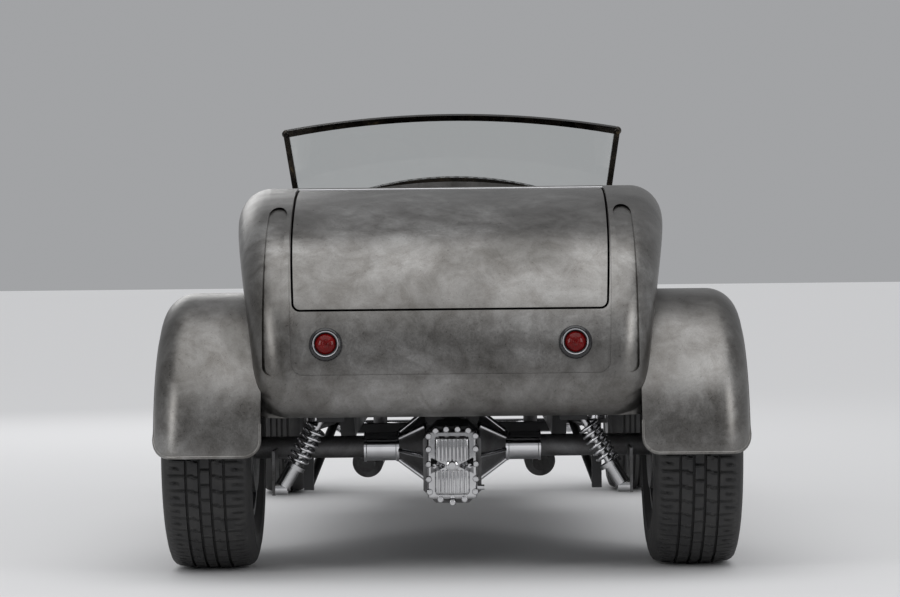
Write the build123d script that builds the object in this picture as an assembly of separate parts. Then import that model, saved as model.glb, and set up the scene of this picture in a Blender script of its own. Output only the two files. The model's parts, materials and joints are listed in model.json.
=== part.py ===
"""A bare-steel street rod roadster with bobbed fenders and a quick-change rear axle.

+X points forward, +Y to the driver's left and +Z up. The ground is Z = 0, and the
origin lies on it under the middle of the car's length. Sizes are in millimetres.
"""

import os
from math import acos, asin, cos, degrees, radians, sin, tan

from build123d import *

# Overall layout
WHEELBASE = 2690
TAIL_OVERHANG = 460          # rear axle to the rearmost point of the tail
REAR_TRACK = 1376            # between the middles of the rear tyres
FRONT_TRACK = 1330
FRAME_HALF = 330             # centre line of a side rail from the car's centre line

# Wheels and tyres
REAR_TYRE_R = 345
REAR_TYRE_W = 250
FRONT_TYRE_R = 310
FRONT_TYRE_W = 165
RIM_R = 190                  # bead seat of a wheel
RIM_FLANGE = 12              # flange height above the bead seat
RIM_WALL = 8
RIM_NARROWER = 34            # a rim is this much narrower than its tyre
TREAD_DROP = 6               # the tread's crown, from its middle to its edge
HUB_R = 72
HUB_L = 60
SPOKES = 5
SPOKE_W = 62
SPOKE_T = 24
LUG_CIRCLE_R = 57
LUG_R = 10
LUG_L = 14
CAP_R = 34
SPINDLE_R = 20
RUNNING_GAP = 0.3            # between a shaft and its bore

# Body shell
SILL_Z = 450                 # underside of the body
WALL = 35
TUB_WALL = 12                # wheel tubs inside the body
TYRE_SIDE_GAP = 18           # tub to the rear tyre's inner side, and to its tread
TYRE_TOP_GAP = 30
DOOR_T = 42
LID_T = 28
SHOULDER_R = 95              # rounded edge between the sides and the deck
BELT_Z = 1100                # height at which the belt half widths below are taken
PANEL_GAP = 6                # seam around a door or lid
REVEAL_DEPTH = 6             # how far the tail panel and the flutes lie below the skin
# distance ahead of the rear axle, half width at the sill, half width at the belt
BODY_SECTIONS = (
    (-640, 512, 582),
    (60, 554, 636),
    (640, 566, 644),
    (1320, 540, 592),
)
ROLL_START = 20              # heading at which the rolled pan starts under the tail
# radius of a tangent arc of the tail, heading at its end: 0 rearward, 90 up, 180 forward
TAIL_ARCS = (
    (120, 87),
    (400, 102),
    (450, 155),
    (1400, 180),
)

# Cockpit and doors, in distances ahead of the rear axle
COCKPIT_REAR = 425
COCKPIT_HALF = 500
DOOR_REAR = 640
DOOR_BOTTOM_Z = 520
DOOR_JAMB_ANGLE = 12         # the rear jamb opens towards the outside
DOOR_HINGE_OUT = 16          # hinge line outside the belt at the door's front
DOOR_HINGE_ZS = (620, 815)
DOOR_HINGE_R = 9
DOOR_HINGE_H = 30
DOOR_LEAF_L = 70             # hinge leaf on the door, and on the cowl
COWL_LEAF_L = 60
LEAF_PLATE_T = 6
LEAF_RETURN_T = 12           # turned-in end of a leaf, reaching to the skin
LEAF_RETURN_L = 90

# Deck lid and tail panel
LID_BOTTOM_Z = 750
LID_BOTTOM_HALF = 430
LID_TOP_HALF = 452
LID_FRONT = 310              # ahead of the rear axle
LID_ROD_R = 4
LID_HINGE_GAP = 11           # wider seam in front of the lid, where its hinge rod lies
LID_CORNER_R = 18
PANEL_BOTTOM_Z = 570
PANEL_MARGIN = 6             # tail panel outside the lid seam
PANEL_CORNER_R = 34
FLUTE_INNER = 466
FLUTE_W = 52
FLUTE_TOP_Z = 1040

# Tail lamps
LAMP_Z = 655
LAMP_Y = 342
LAMP_BEZEL_R = 42
LAMP_LENS_R = 32
LAMP_BEZEL_T = 12
LAMP_DOME = 13
LAMP_STEM = 70

# Cowl, hood and grille: the arch sections follow the body forward
# distance ahead of the rear axle, half width at sill and at belt, sill, belt, crown, corner
COWL_REAR_SECTION = (1320, 540, 592, SILL_Z, 1040, 1152, 85)
FIREWALL_SECTION = (1780, 425, 442, SILL_Z, 1010, 1128, 70)
GRILLE_SECTION = (2510, 225, 250, SILL_Z, 915, 1012, 60)
COWL_WALL = 30
FIREWALL_T = 8
HOOD_T = 10
HOOD_GAP = 6
HOOD_SPLIT_DROP = 60         # hood top to hood side, below the belt
HOOD_ROD_R = 5
HOOD_SIDE_BOTTOM_Z = 470
LOUVRES = 14
LOUVRE_L = 210
LOUVRE_R = 7
LOUVRE_PITCH = 36
SHELL_L = 130
SHELL_RIM = 36
SHELL_LIP = 8                # the grille shell stands this far proud of the hood
GRILLE_BARS = 15
GRILLE_BAR_W = 9
GRILLE_BAR_L = 22
RADIATOR_T = 50

# Fenders: radius of the crown about the axle, sheet, skirt depth, outer corner radius
REAR_FENDER_R = 450
FENDER_T = 5
REAR_FENDER_SKIRT = 92
REAR_FENDER_CORNER = 90
REAR_FENDER_OUT = 826        # outer side from the car's centre line
REAR_FENDER_IN = 524         # inner edge below the body
FENDER_LIP_Z = 348
FENDER_LIP_CORNER = 45
FENDER_FRONT_Z = 450
FRONT_FENDER_GAP = 42        # crown above the front tyre
FRONT_FENDER_WIDER = 30
FRONT_FENDER_SKIRT = 40
FRONT_FENDER_CORNER = 36
FRONT_FENDER_AHEAD = 48      # degrees of the arc ahead of the top
FRONT_FENDER_BEHIND = 80
FENDER_STAY_R = 6
SEAT_CLEARANCE = 0.3         # between curved faces that seat on each other

# Windshield
WINDSHIELD_BASE = 1500       # ahead of the rear axle, at the height below
WINDSHIELD_BASE_Z = 1050
WINDSHIELD_LEAN = 20
POST_BASE_HALF = 535
POST_TOP_HALF = 574
POST_LENGTH = 300
WINDSHIELD_CROWN = 352       # top rail's middle, along the leaning plane
WINDSHIELD_BAR = 19
WINDSHIELD_DEPTH = 20
WINDSHIELD_SILL = 130        # lower rail's middle, along the leaning plane
GLASS_T = 6

# Chassis
RAIL_W = 45
RAIL_H = 96
RAIL_TOP_Z = 434
RAIL_FRONT = 2850            # ahead of the rear axle
RAIL_REAR = -360
KICK_START = 640             # where the rails start to climb over the axle
KICK_END = 420
KICK_H = 132
FLOOR_T = SILL_Z - RAIL_TOP_Z
TUNNEL_HALF = 170
TUNNEL_Z = 610
TUNNEL_T = 10
CROSSMEMBER_W = 60
JACK_PAD = (90, 40, 8)
# distance ahead of the rear axle of the jacking pads
JACK_PADS = (760, 1900)
BRACKET_T = 8
SPREADER_R = 14
TOW_EYE_R = 11
TOW_EYE_T = 12

# Rear axle
AXLE_TUBE_R = 32
BELL_R = 98
BELL_Y = (78, 152)           # inboard and outboard ends of the axle bells
BELL_SNOUT_R = 40
HOUSING_HALF = 82
HOUSING_FRONT = 165          # ahead of the axle
HOUSING_REAR = -215
HOUSING_DROP = 40            # the gear case sits below the axle's line
HOUSING_H = 215
COVER_T = 46
COVER_W = 168
COVER_H = 214
COVER_RIBS = 7
COVER_RIB_R = 8
COVER_RIB_MARGIN = 26        # from a rib's end to the cover's edge
COVER_BOLT_R = 11
# place of a cover bolt boss as a share of the cover's half width and half height
COVER_BOLTS = (
    (0.98, 0.55),
    (0.98, 0.18),
    (0.98, -0.2),
    (0.98, -0.6),
    (0.5, 0.98),
    (0.5, -0.98),
)
BELL_RIBS = 7
BELL_RIB_R = 6
BELL_SNOUT_L = 103

# Coil-over dampers: outside the axle, leaning in at the top
DAMPER_BEHIND = 150          # behind the axle
DAMPER_INBOARD = 76          # lower eye inboard of the tyre
DAMPER_LOW_Z = 238
DAMPER_TOP_Y = 365
DAMPER_TOP_Z = 445
DAMPER_PIN_R = 8
DAMPER_BODY_R = 22
DAMPER_BODY_L = 80
DAMPER_EYE_R = 19
DAMPER_EYE_W = 34
SPRING_R = 27
SPRING_WIRE_R = 5
SPRING_COILS = 7
SPRING_SEAT_T = 12

# Rear radius arms and the eyes on the rails that rods end in
ARM_R = 14
ARM_DROP = 110               # lower and upper arm below and above the axle's line
ARM_RISE = 55
ARM_INBOARD = 70             # inboard of the dampers' lower ends
ARM_FRONT = 700              # ahead of the rear axle
ROD_EYE_R = 19

# Front axle
KINGPIN_Y = 545
KINGPIN_R = 13
KINGPIN_BOSS_R = 30
AXLE_DROP = 62
FRONT_AXLE_R = 27
AXLE_BEND = 110              # the axle starts to rise this far inboard of a kingpin
LEAF_T = 22
LEAF_SEAT = 10               # the spring's crown above the rails' underside
LEAF_W = 44
LEAF_RISE = 34
HAIRPIN_REAR = 1950          # ahead of the rear axle
HAIRPIN_R = 9
KNUCKLE_EAR = 17
STEER_CLEARANCE = 5
KNUCKLE_BOSS = 74            # height of the axle's boss between the knuckle's ears
STEER_ARM = 140
LINK_R = 11
LINK_Z = 186
LINK_RISE = 42               # steering arms' eyes above the tie rod
LINK_EYE_R = 17
LINK_EYE_H = 26
LINK_PIN_R = 7
KNUCKLE_HALF = 22
BRAKE_R = 128
BRAKE_T = 14

# Driveline
ENGINE_L = 560
ENGINE_HALF = 228
ENGINE_BOTTOM_Z = 372
ENGINE_TOP_Z = 930
GEARBOX_HALF = 120
GEARBOX_TOP_Z = 560
GEARBOX_REAR = 1200          # ahead of the rear axle
SHAFT_R = 38
SHAFT_Z = 385
PIPE_R = 25
PIPE_START = 130             # ahead of the engine's rear face
PIPE_PORT = 120              # manifold's top above the engine's underside
PIPE_Z = 254
PIPE_Y = 270
PIPE_REAR = 560              # ahead of the rear axle
MUFFLER_R = 48
MUFFLER_L = 420

# Lamps at the front
HEADLAMP_R = 96
HEADLAMP_L = 170
HEADLAMP_Y = 350
HEADLAMP_Z = 815
HEADLAMP_AHEAD = 2600
HEADLAMP_RIM = 10
HEADLAMP_BOWL = 15
HEADLAMP_STAND_R = 13

# Cockpit fittings
SEAT_HALF = 470
SEAT_REAR = 410              # ahead of the rear axle
SEAT_L = 500
SEAT_H = 130
SEAT_OVERHANG = 40           # cushion beyond its base
SEAT_BACK_T = 130
SEAT_BACK_TOP_Z = 1040
SEAT_RAKE = 50
STEER_WHEEL_R = 178
STEER_RIM_R = 13
STEER_WHEEL = (1040, 290, 945)   # ahead of the rear axle, left, up
COLUMN_FOOT_Z = 600
COLUMN_R = 22
PEDAL_YS = (222, 358)
PEDAL_REACH = 130            # pads behind the firewall
PEDAL_W = 56
PEDAL_H = 90
PEDAL_Z = 560
PEDAL_ARM_R = 8
LEVER_AT = 1290              # ahead of the rear axle
LEVER_LEAN = 60
LEVER_H = 235
LEVER_R = 8
DASH_T = 14
DASH_BOTTOM_Z = 880
GAUGE_T = 9
# left of the centre line, height, radius of a gauge
GAUGES = (
    (372, 952, 46),
    (208, 968, 46),
    (60, 985, 28),
    (-20, 985, 28),
)

# Places worked out from the sizes above
REAR_AXLE_X = -(WHEELBASE + FRONT_TYRE_R - TAIL_OVERHANG) / 2
FRONT_AXLE_X = REAR_AXLE_X + WHEELBASE
TAIL_X = REAR_AXLE_X - TAIL_OVERHANG
REAR_TYRE_INSIDE = (REAR_TRACK - REAR_TYRE_W) / 2
DAMPER_LOW_Y = REAR_TYRE_INSIDE - DAMPER_INBOARD
COWL_REAR_X = REAR_AXLE_X + COWL_REAR_SECTION[0]
FIREWALL_X = REAR_AXLE_X + FIREWALL_SECTION[0]
GRILLE_X = REAR_AXLE_X + GRILLE_SECTION[0]
DOOR_FRONT_X = COWL_REAR_X - PANEL_GAP
LID_FRONT_X = REAR_AXLE_X + LID_FRONT
FAR = 4000                   # reach of a cutting tool, well past the car

parts = {}


def ahead(distance):
    """X of a place given by its distance ahead of the rear axle."""
    return REAR_AXLE_X + distance


def across(x):
    """The upright plane across the car at x: its own x runs to the left, its y upwards."""
    return Plane(origin=(x, 0, 0), x_dir=(0, 1, 0), z_dir=(1, 0, 0))


def along(y=0):
    """The upright plane along the car at y: its own x runs forward, its y upwards."""
    return Plane(origin=(0, y, 0), x_dir=(1, 0, 0), z_dir=(0, -1, 0))


def block(x, y, z):
    """A box between two limits on each axis."""
    size = (x[1] - x[0], y[1] - y[0], z[1] - z[0])
    return Pos((x[0] + x[1]) / 2, (y[0] + y[1]) / 2, (z[0] + z[1]) / 2) * Box(*size)


def rod(start, end, radius):
    """A round bar from one point to another."""
    start, end = Vector(*start), Vector(*end)
    way = end - start
    at_start = (Align.CENTER, Align.CENTER, Align.MIN)
    return Plane(origin=start, z_dir=way) * Cylinder(radius, way.length, align=at_start)


def right_side(shape):
    """The same piece on the car's right."""
    return mirror(shape, about=Plane.XZ)


def both_sides(shape):
    """A left piece and its mirror image, as solids of one node."""
    return gather([shape, right_side(shape)])


def gather(shapes):
    """Separate pieces as the solids of one node."""
    return Compound(children=[solid for shape in shapes for solid in shape.solids()])


def deck_chain(inset=0.0):
    """The tail's tangent arcs in side view, each as (centre, radius, start and end heading)."""
    first_r, first_end = TAIL_ARCS[0]
    second_r = TAIL_ARCS[1][0]
    lean = sin(radians(first_end))
    start = sin(radians(ROLL_START))
    x = TAIL_X + first_r * (lean - start) + second_r * (1 - lean)
    z = SILL_Z
    heading = ROLL_START
    chain = []
    for radius, end in TAIL_ARCS:
        centre = Vector(x + radius * sin(radians(heading)), z + radius * cos(radians(heading)))
        chain.append((centre, radius - inset, heading, end))
        x = centre.X - radius * sin(radians(end))
        z = centre.Y - radius * cos(radians(end))
        heading = end
    return chain


def on_arc(arc, heading):
    """The point of a tail arc where the surface runs at a heading."""
    centre, radius = arc[0], arc[1]
    return (
        centre.X - radius * sin(radians(heading)),
        centre.Y - radius * cos(radians(heading)),
    )


def deck_at(z, inset=0.0):
    """X and heading of the tail's surface at a height."""
    for arc in deck_chain(inset):
        centre, radius, start, end = arc
        low, high = on_arc(arc, start)[1], on_arc(arc, end)[1]
        if low <= z <= high:
            heading = degrees(acos((centre.Y - z) / radius))
            return on_arc(arc, heading)[0], heading
    raise ValueError(f"the tail has no surface at {z}")


def deck_z(x, inset=0.0):
    """Height of the deck at x, on the long arc in front of the tail."""
    centre, radius = deck_chain(inset)[-1][:2]
    return centre.Y + (radius**2 - (x - centre.X) ** 2) ** 0.5


DECK_TOP_Z = on_arc(deck_chain()[-1], TAIL_ARCS[-1][1])[1]


def body_form(inset=0.0):
    """The outside of the body from the tail to the cowl, or the same form drawn in by inset."""
    faces = []
    for distance, sill, belt in BODY_SECTIONS:
        lean = (belt - sill) / (BELT_Z - SILL_Z)
        low, high = SILL_Z - WALL, DECK_TOP_Z + SHOULDER_R
        low_half = sill + lean * (low - SILL_Z) - inset
        high_half = sill + lean * (high - SILL_Z) - inset
        outline = Polyline(
            (-low_half, low), (low_half, low), (high_half, high), (-high_half, high), close=True
        )
        faces.append(across(ahead(distance)) * make_face(outline))
    sides = loft(faces)
    chain = deck_chain(inset)
    arcs = []
    for arc in chain:
        start, end = arc[2], arc[3]
        arcs.append(
            ThreePointArc(on_arc(arc, start), on_arc(arc, (start + end) / 2), on_arc(arc, end))
        )
    first, last = on_arc(chain[0], chain[0][2]), on_arc(chain[-1], chain[-1][3])
    rest = Polyline(last, (COWL_REAR_X, last[1]), (COWL_REAR_X, first[1]), first)
    profile = extrude(along() * make_face(arcs + [rest]), amount=FAR / 2, both=True)
    form = sides & profile
    long_edges = [
        edge
        for edge in form.edges()
        if abs(edge.center().Y) > COCKPIT_HALF / 2
        and edge.center().Z > SILL_Z + PANEL_GAP
        and edge.center().X < COWL_REAR_X - PANEL_GAP
    ]
    return fillet(long_edges, SHOULDER_R - inset)


def rear_view(outline, low_x, high_x):
    """A face drawn from behind, as a bar along the car between two places."""
    return extrude(across(low_x) * outline, amount=high_x - low_x)


def rounded_panel(low_half, high_half, low_z, high_z, corner):
    """A panel seen from behind: straight sides, a wider top and rounded lower corners."""
    face = make_face(
        Polyline(
            (-low_half, low_z), (low_half, low_z), (high_half, high_z), (-high_half, high_z),
            close=True,
        )
    )
    return fillet(face.vertices().group_by(Axis.Y)[0], corner)


def lid_half(z):
    """Half width of the deck lid at a height."""
    share = (z - LID_BOTTOM_Z) / (DECK_TOP_Z - LID_BOTTOM_Z)
    return LID_BOTTOM_HALF + share * (LID_TOP_HALF - LID_BOTTOM_HALF)


def lid_tool(grow, front_gap=0):
    """The space of the deck lid, grown by its seam."""
    top = DECK_TOP_Z + WALL
    face = rounded_panel(
        lid_half(LID_BOTTOM_Z) + grow, lid_half(top) + grow, LID_BOTTOM_Z - grow, top,
        LID_CORNER_R + grow,
    )
    return rear_view(face, TAIL_X - WALL, LID_FRONT_X + front_gap)


def door_tool(grow):
    """The space of the left door, grown by its seam at the rear and the bottom."""
    belt = BODY_SECTIONS[2][2]
    slope = tan(radians(DOOR_JAMB_ANGLE))
    outer, inner = belt + WALL, COCKPIT_HALF
    rear_outer = ahead(DOOR_REAR) - grow - (outer - belt) * slope
    rear_inner = ahead(DOOR_REAR) - grow + (belt - inner) * slope
    front = COWL_REAR_X + grow if grow else DOOR_FRONT_X
    outline = Polyline(
        (rear_outer, outer), (rear_inner, inner), (front, inner), (front, outer), close=True
    )
    low = DOOR_BOTTOM_Z - grow
    return extrude(Plane.XY.offset(low) * make_face(outline), amount=DECK_TOP_Z + WALL - low)


def arch_face(section, grow=0.0, drop=0.0):
    """A cross section of the cowl or hood: upright sides, rounded shoulders, arched top."""
    distance, sill_half, belt_half, sill_z, belt_z, crown_z, corner = section
    lean = (belt_half - sill_half) / (belt_z - sill_z)
    low = sill_z - drop
    low_half = sill_half - lean * drop + grow
    belt_half, belt_z, crown_z = belt_half + grow, belt_z + grow, crown_z + grow
    face = make_face(
        [
            Polyline((-belt_half, belt_z), (-low_half, low), (low_half, low), (belt_half, belt_z)),
            ThreePointArc((belt_half, belt_z), (0, crown_z), (-belt_half, belt_z)),
        ]
    )
    corners = [v for v in face.vertices() if v.Y > (low + belt_z) / 2]
    return across(ahead(distance)) * fillet(corners, corner + grow)


def arch_form(first, second, grow=0.0, drop=0.0):
    """The solid between two cross sections."""
    return loft([arch_face(first, grow, drop), arch_face(second, grow, drop)])


def between(section_a, section_b, distance):
    """The cross section part of the way from one to another."""
    share = (distance - section_a[0]) / (section_b[0] - section_a[0])
    return tuple(a + share * (b - a) for a, b in zip(section_a, section_b))


def tail_lamp_plane(side):
    """Plane of a tail lamp on the tail panel, its z pointing out of the body."""
    x, heading = deck_at(LAMP_Z, REVEAL_DEPTH)
    out = (-sin(radians(heading)), 0, -cos(radians(heading)))
    return Plane(origin=(x, side * LAMP_Y, LAMP_Z), z_dir=out)


def build_body(form):
    """Tail, quarter panels and sills in one shell; the deck lid and the doors."""
    inside = body_form(WALL)
    inside += extrude(inside.faces().sort_by(Axis.Z)[0], amount=2 * WALL, dir=(0, 0, -1))
    tub = wheel_space(TUB_WALL)
    shell = form - (inside - tub - right_side(tub))
    under = body_form(REVEAL_DEPTH)
    panel = rounded_panel(
        LID_BOTTOM_HALF + PANEL_MARGIN, LID_TOP_HALF + PANEL_MARGIN, PANEL_BOTTOM_Z,
        DECK_TOP_Z + WALL, PANEL_CORNER_R,
    )
    reveal = rear_view(panel, TAIL_X - WALL, LID_FRONT_X + PANEL_MARGIN) - under
    shell -= reveal
    for side in (-1, 1):
        middle = side * (FLUTE_INNER + FLUTE_W / 2)
        height = FLUTE_TOP_Z - PANEL_BOTTOM_Z
        flute = Pos(middle, PANEL_BOTTOM_Z + height / 2) * RectangleRounded(
            FLUTE_W, height, FLUTE_W / 2 - 1
        )
        shell -= rear_view(flute, TAIL_X - WALL, ahead(0)) - under
        shell -= tail_lamp_plane(side) * Cylinder(LAMP_LENS_R, LAMP_STEM * 2)

    cockpit = block(
        (ahead(COCKPIT_REAR), COWL_REAR_X + WALL), (-COCKPIT_HALF, COCKPIT_HALF),
        (SILL_Z - WALL, FAR / 2),
    )
    cockpit = fillet(cockpit.edges().filter_by(Axis.Z).group_by(Axis.X)[0], SHOULDER_R)
    door_space = door_tool(PANEL_GAP)
    pocket = wheel_space(0)
    rear = shell - cockpit - door_space - right_side(door_space)
    rear = rear - pocket - right_side(pocket) - lid_tool(PANEL_GAP, LID_HINGE_GAP)
    parts["body_rear"] = rear

    lid = (form & lid_tool(0)) - body_form(LID_T)
    parts["deck_lid"] = lid - reveal

    door = (form & door_tool(0)) - body_form(DOOR_T)
    x, y = door_hinge_line()
    for z in DOOR_HINGE_ZS:
        for step in (-1, 1):
            middle = z + step * (DOOR_HINGE_H + 1)
            low, high = middle - DOOR_HINGE_H / 2, middle + DOOR_HINGE_H / 2
            knuckle = rod((x, y, low), (x, y, high), DOOR_HINGE_R)
            door += knuckle + (hinge_leaf(-DOOR_LEAF_L, low, high) - form)
    parts["door_left"] = door
    parts["door_right"] = right_side(door)


def door_hinge_line():
    """X and Y of the left door's upright hinge line."""
    return DOOR_FRONT_X + PANEL_GAP / 2, BODY_SECTIONS[-1][2] + DOOR_HINGE_OUT


def hinge_leaf(reach, low, high):
    """A hinge leaf from the left hinge line to a reach ahead of it, its end turned in to the skin."""
    x, y = door_hinge_line()
    end = x + reach
    turn = end - LEAF_RETURN_T * reach / abs(reach)
    leaf = block(sorted((x, end)), (y - LEAF_PLATE_T / 2, y + LEAF_PLATE_T / 2), (low, high))
    return leaf + block(sorted((turn, end)), (y - LEAF_RETURN_L, y), (low, high))


def wheel_space(grow):
    """The left rear wheel's space in the body's side, grown by a wall."""
    y = REAR_TYRE_INSIDE - TYRE_SIDE_GAP - grow
    return rod(
        (REAR_AXLE_X, y, REAR_TYRE_R), (REAR_AXLE_X, y + FAR / 4, REAR_TYRE_R),
        REAR_TYRE_R + TYRE_TOP_GAP + grow,
    )


def domed_lens(radius, edge, depth, dome):
    """A round lens along z: a stem going back by depth, a rim at edge and a dome on it."""
    ball = (radius**2 + dome**2) / (2 * dome)
    half = asin(radius / ball) / 2
    middle = (ball * sin(half), edge + dome - ball * (1 - cos(half)))
    profile = make_face(
        [
            Polyline((0, edge + dome), (0, -depth), (radius, -depth), (radius, edge)),
            ThreePointArc((radius, edge), middle, (0, edge + dome)),
        ]
    )
    return revolve(Plane.XZ * profile, axis=Axis.Z)


def build_tail_lamps():
    """Round lamps with a bezel and a domed lens, seated on the tail panel."""
    seat = body_form(REVEAL_DEPTH - SEAT_CLEARANCE)
    bezels, lenses = [], []
    for side in (-1, 1):
        plane = tail_lamp_plane(side)
        ring = Cylinder(LAMP_BEZEL_R, 2 * LAMP_BEZEL_T)
        ring = fillet(ring.edges().group_by(Axis.Z)[-1], LAMP_BEZEL_T * 0.7)
        ring -= Cylinder(LAMP_LENS_R, 4 * LAMP_BEZEL_T)
        bezels.append(plane * ring - seat)
        lenses.append(
            plane * domed_lens(LAMP_LENS_R - RUNNING_GAP, LAMP_BEZEL_T, LAMP_STEM, LAMP_DOME)
        )
    parts["tail_lamp_bezels"] = gather(bezels)
    parts["tail_lamp_lenses"] = gather(lenses)


def build_cowl():
    """Cowl shell, firewall and dashboard."""
    outer = arch_form(COWL_REAR_SECTION, FIREWALL_SECTION)
    inner = arch_form(COWL_REAR_SECTION, FIREWALL_SECTION, -COWL_WALL, COWL_WALL)
    cowl = outer - inner
    x, y = door_hinge_line()
    for z in DOOR_HINGE_ZS:
        low, high = z - DOOR_HINGE_H / 2, z + DOOR_HINGE_H / 2
        knuckle = rod((x, y, low), (x, y, high), DOOR_HINGE_R)
        hinge = knuckle + (hinge_leaf(COWL_LEAF_L, low, high) - outer)
        cowl += hinge + right_side(hinge)
    parts["cowl"] = cowl

    face = arch_face(FIREWALL_SECTION, -HOOD_GAP)
    wall = extrude(face, amount=FIREWALL_T, dir=(1, 0, 0))
    g = GEARBOX_HALF + PANEL_GAP
    parts["firewall"] = wall - block(
        (FIREWALL_X - FAR, FIREWALL_X + FAR), (-g, g), (0, GEARBOX_TOP_Z + PANEL_GAP)
    )

    dash_x = COWL_REAR_X + 2 * DASH_T
    space = arch_form(COWL_REAR_SECTION, FIREWALL_SECTION, -COWL_WALL - SEAT_CLEARANCE, COWL_WALL)
    parts["dash_panel"] = space & block(
        (dash_x, dash_x + DASH_T), (-FAR, FAR), (DASH_BOTTOM_Z, FAR)
    )
    gauges = []
    for y, z, radius in GAUGES:
        gauges.append(rod((dash_x, y, z), (dash_x - GAUGE_T, y, z), radius))
    parts["gauges"] = gather(gauges)


def build_hood():
    """Two top panels hinged on a centre rod, two louvred sides, grille shell and radiator."""
    rear_x = FIREWALL_X + FIREWALL_T + HOOD_GAP
    front_x = GRILLE_X - HOOD_GAP
    outer = arch_form(FIREWALL_SECTION, GRILLE_SECTION)
    inner = arch_form(FIREWALL_SECTION, GRILLE_SECTION, -HOOD_T, WALL)
    shell = outer - inner
    split_rear = FIREWALL_SECTION[4] - HOOD_SPLIT_DROP
    split_front = GRILLE_SECTION[4] - HOOD_SPLIT_DROP

    def zone(lift, top):
        face = make_face(
            Polyline(
                (FIREWALL_X, split_rear + lift), (GRILLE_X, split_front + lift),
                (GRILLE_X, top), (FIREWALL_X, top), close=True,
            )
        )
        return extrude(along() * face, amount=FAR / 2, both=True)

    limits = block((rear_x, front_x), (-FAR, FAR), (0, FAR))
    upper = shell & limits & zone(HOOD_GAP / 2, FAR / 2)
    left = upper & block((-FAR, FAR), (HOOD_ROD_R + RUNNING_GAP, FAR), (0, FAR))
    parts["hood_top_left"] = left
    parts["hood_top_right"] = right_side(left)
    lower = shell & zone(-HOOD_GAP / 2, HOOD_SIDE_BOTTOM_Z)
    side = lower & block((FIREWALL_X + FIREWALL_T, GRILLE_X), (0, FAR), (0, FAR))
    side = add_louvres(side, split_rear, split_front)
    parts["hood_sides"] = both_sides(side)
    build_grille()


def hood_crown(x):
    """Height of the hood's centre line at x."""
    return between(FIREWALL_SECTION, GRILLE_SECTION, x - REAR_AXLE_X)[5]


def add_louvres(side, split_rear, split_front):
    """A row of pressed louvres on a hood side, each a half round leaning with the panel."""
    middle = (FIREWALL_SECTION[0] + GRILLE_SECTION[0]) / 2
    for number in range(LOUVRES):
        distance = middle + (number - (LOUVRES - 1) / 2) * LOUVRE_PITCH
        section = between(FIREWALL_SECTION, GRILLE_SECTION, distance)
        x = ahead(distance)
        lean = (section[2] - section[1]) / (section[4] - section[3])
        split = between((FIREWALL_SECTION[0], split_rear), (GRILLE_SECTION[0], split_front), distance)[1]
        middle_z = (split + HOOD_SIDE_BOTTOM_Z) / 2
        ends = []
        for z in (middle_z - LOUVRE_L / 2, middle_z + LOUVRE_L / 2):
            ends.append((x, section[1] + lean * (z - section[3]) - 1, z))
        side += rod(ends[0], ends[1], LOUVRE_R)
    return side


def build_grille():
    """Grille shell open at the front and back, upright bars in it, radiator behind them."""
    outer = extrude(arch_face(GRILLE_SECTION, SHELL_LIP), amount=SHELL_L, dir=(1, 0, 0))
    outer = fillet(outer.faces().sort_by(Axis.X)[-1].edges(), SHELL_LIP * 2)
    opening = extrude(arch_face(GRILLE_SECTION, -SHELL_RIM, -SHELL_RIM), amount=SHELL_L, dir=(1, 0, 0))
    parts["grille_shell"] = outer - opening
    bars = []
    half = GRILLE_SECTION[2] - SHELL_RIM
    pitch = 2 * half / (GRILLE_BARS + 1)
    bar_x = GRILLE_X + SHELL_L - 2 * GRILLE_BAR_L
    for number in range(GRILLE_BARS):
        y = -half + pitch * (number + 1)
        width = (y - GRILLE_BAR_W / 2, y + GRILLE_BAR_W / 2)
        bars.append(opening & block((bar_x, bar_x + GRILLE_BAR_L), width, (0, FAR)))
    parts["grille_bars"] = gather(bars)
    core = extrude(
        arch_face(GRILLE_SECTION, -SHELL_RIM - SEAT_CLEARANCE, -SHELL_RIM - SEAT_CLEARANCE),
        amount=RADIATOR_T, dir=(1, 0, 0),
    )
    parts["radiator"] = core


def fender_face(crown, inner_y, outer_y, skirt, corner):
    """Half-section of a fender about its axle: a flat crown, a rounded corner and a skirt."""
    t = FENDER_T
    turn_y, turn_r = outer_y - corner, crown - corner
    outer_bend = corner * sin(radians(45))
    inner_bend = (corner - t) * sin(radians(45))
    return make_face(
        [
            Line((inner_y, crown), (turn_y, crown)),
            ThreePointArc(
                (turn_y, crown), (turn_y + outer_bend, turn_r + outer_bend), (outer_y, turn_r)
            ),
            Polyline(
                (outer_y, turn_r), (outer_y, crown - skirt), (outer_y - t, crown - skirt),
                (outer_y - t, turn_r),
            ),
            ThreePointArc(
                (outer_y - t, turn_r), (turn_y + inner_bend, turn_r + inner_bend),
                (turn_y, crown - t),
            ),
            Polyline((turn_y, crown - t), (inner_y, crown - t), (inner_y, crown)),
        ]
    )


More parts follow.
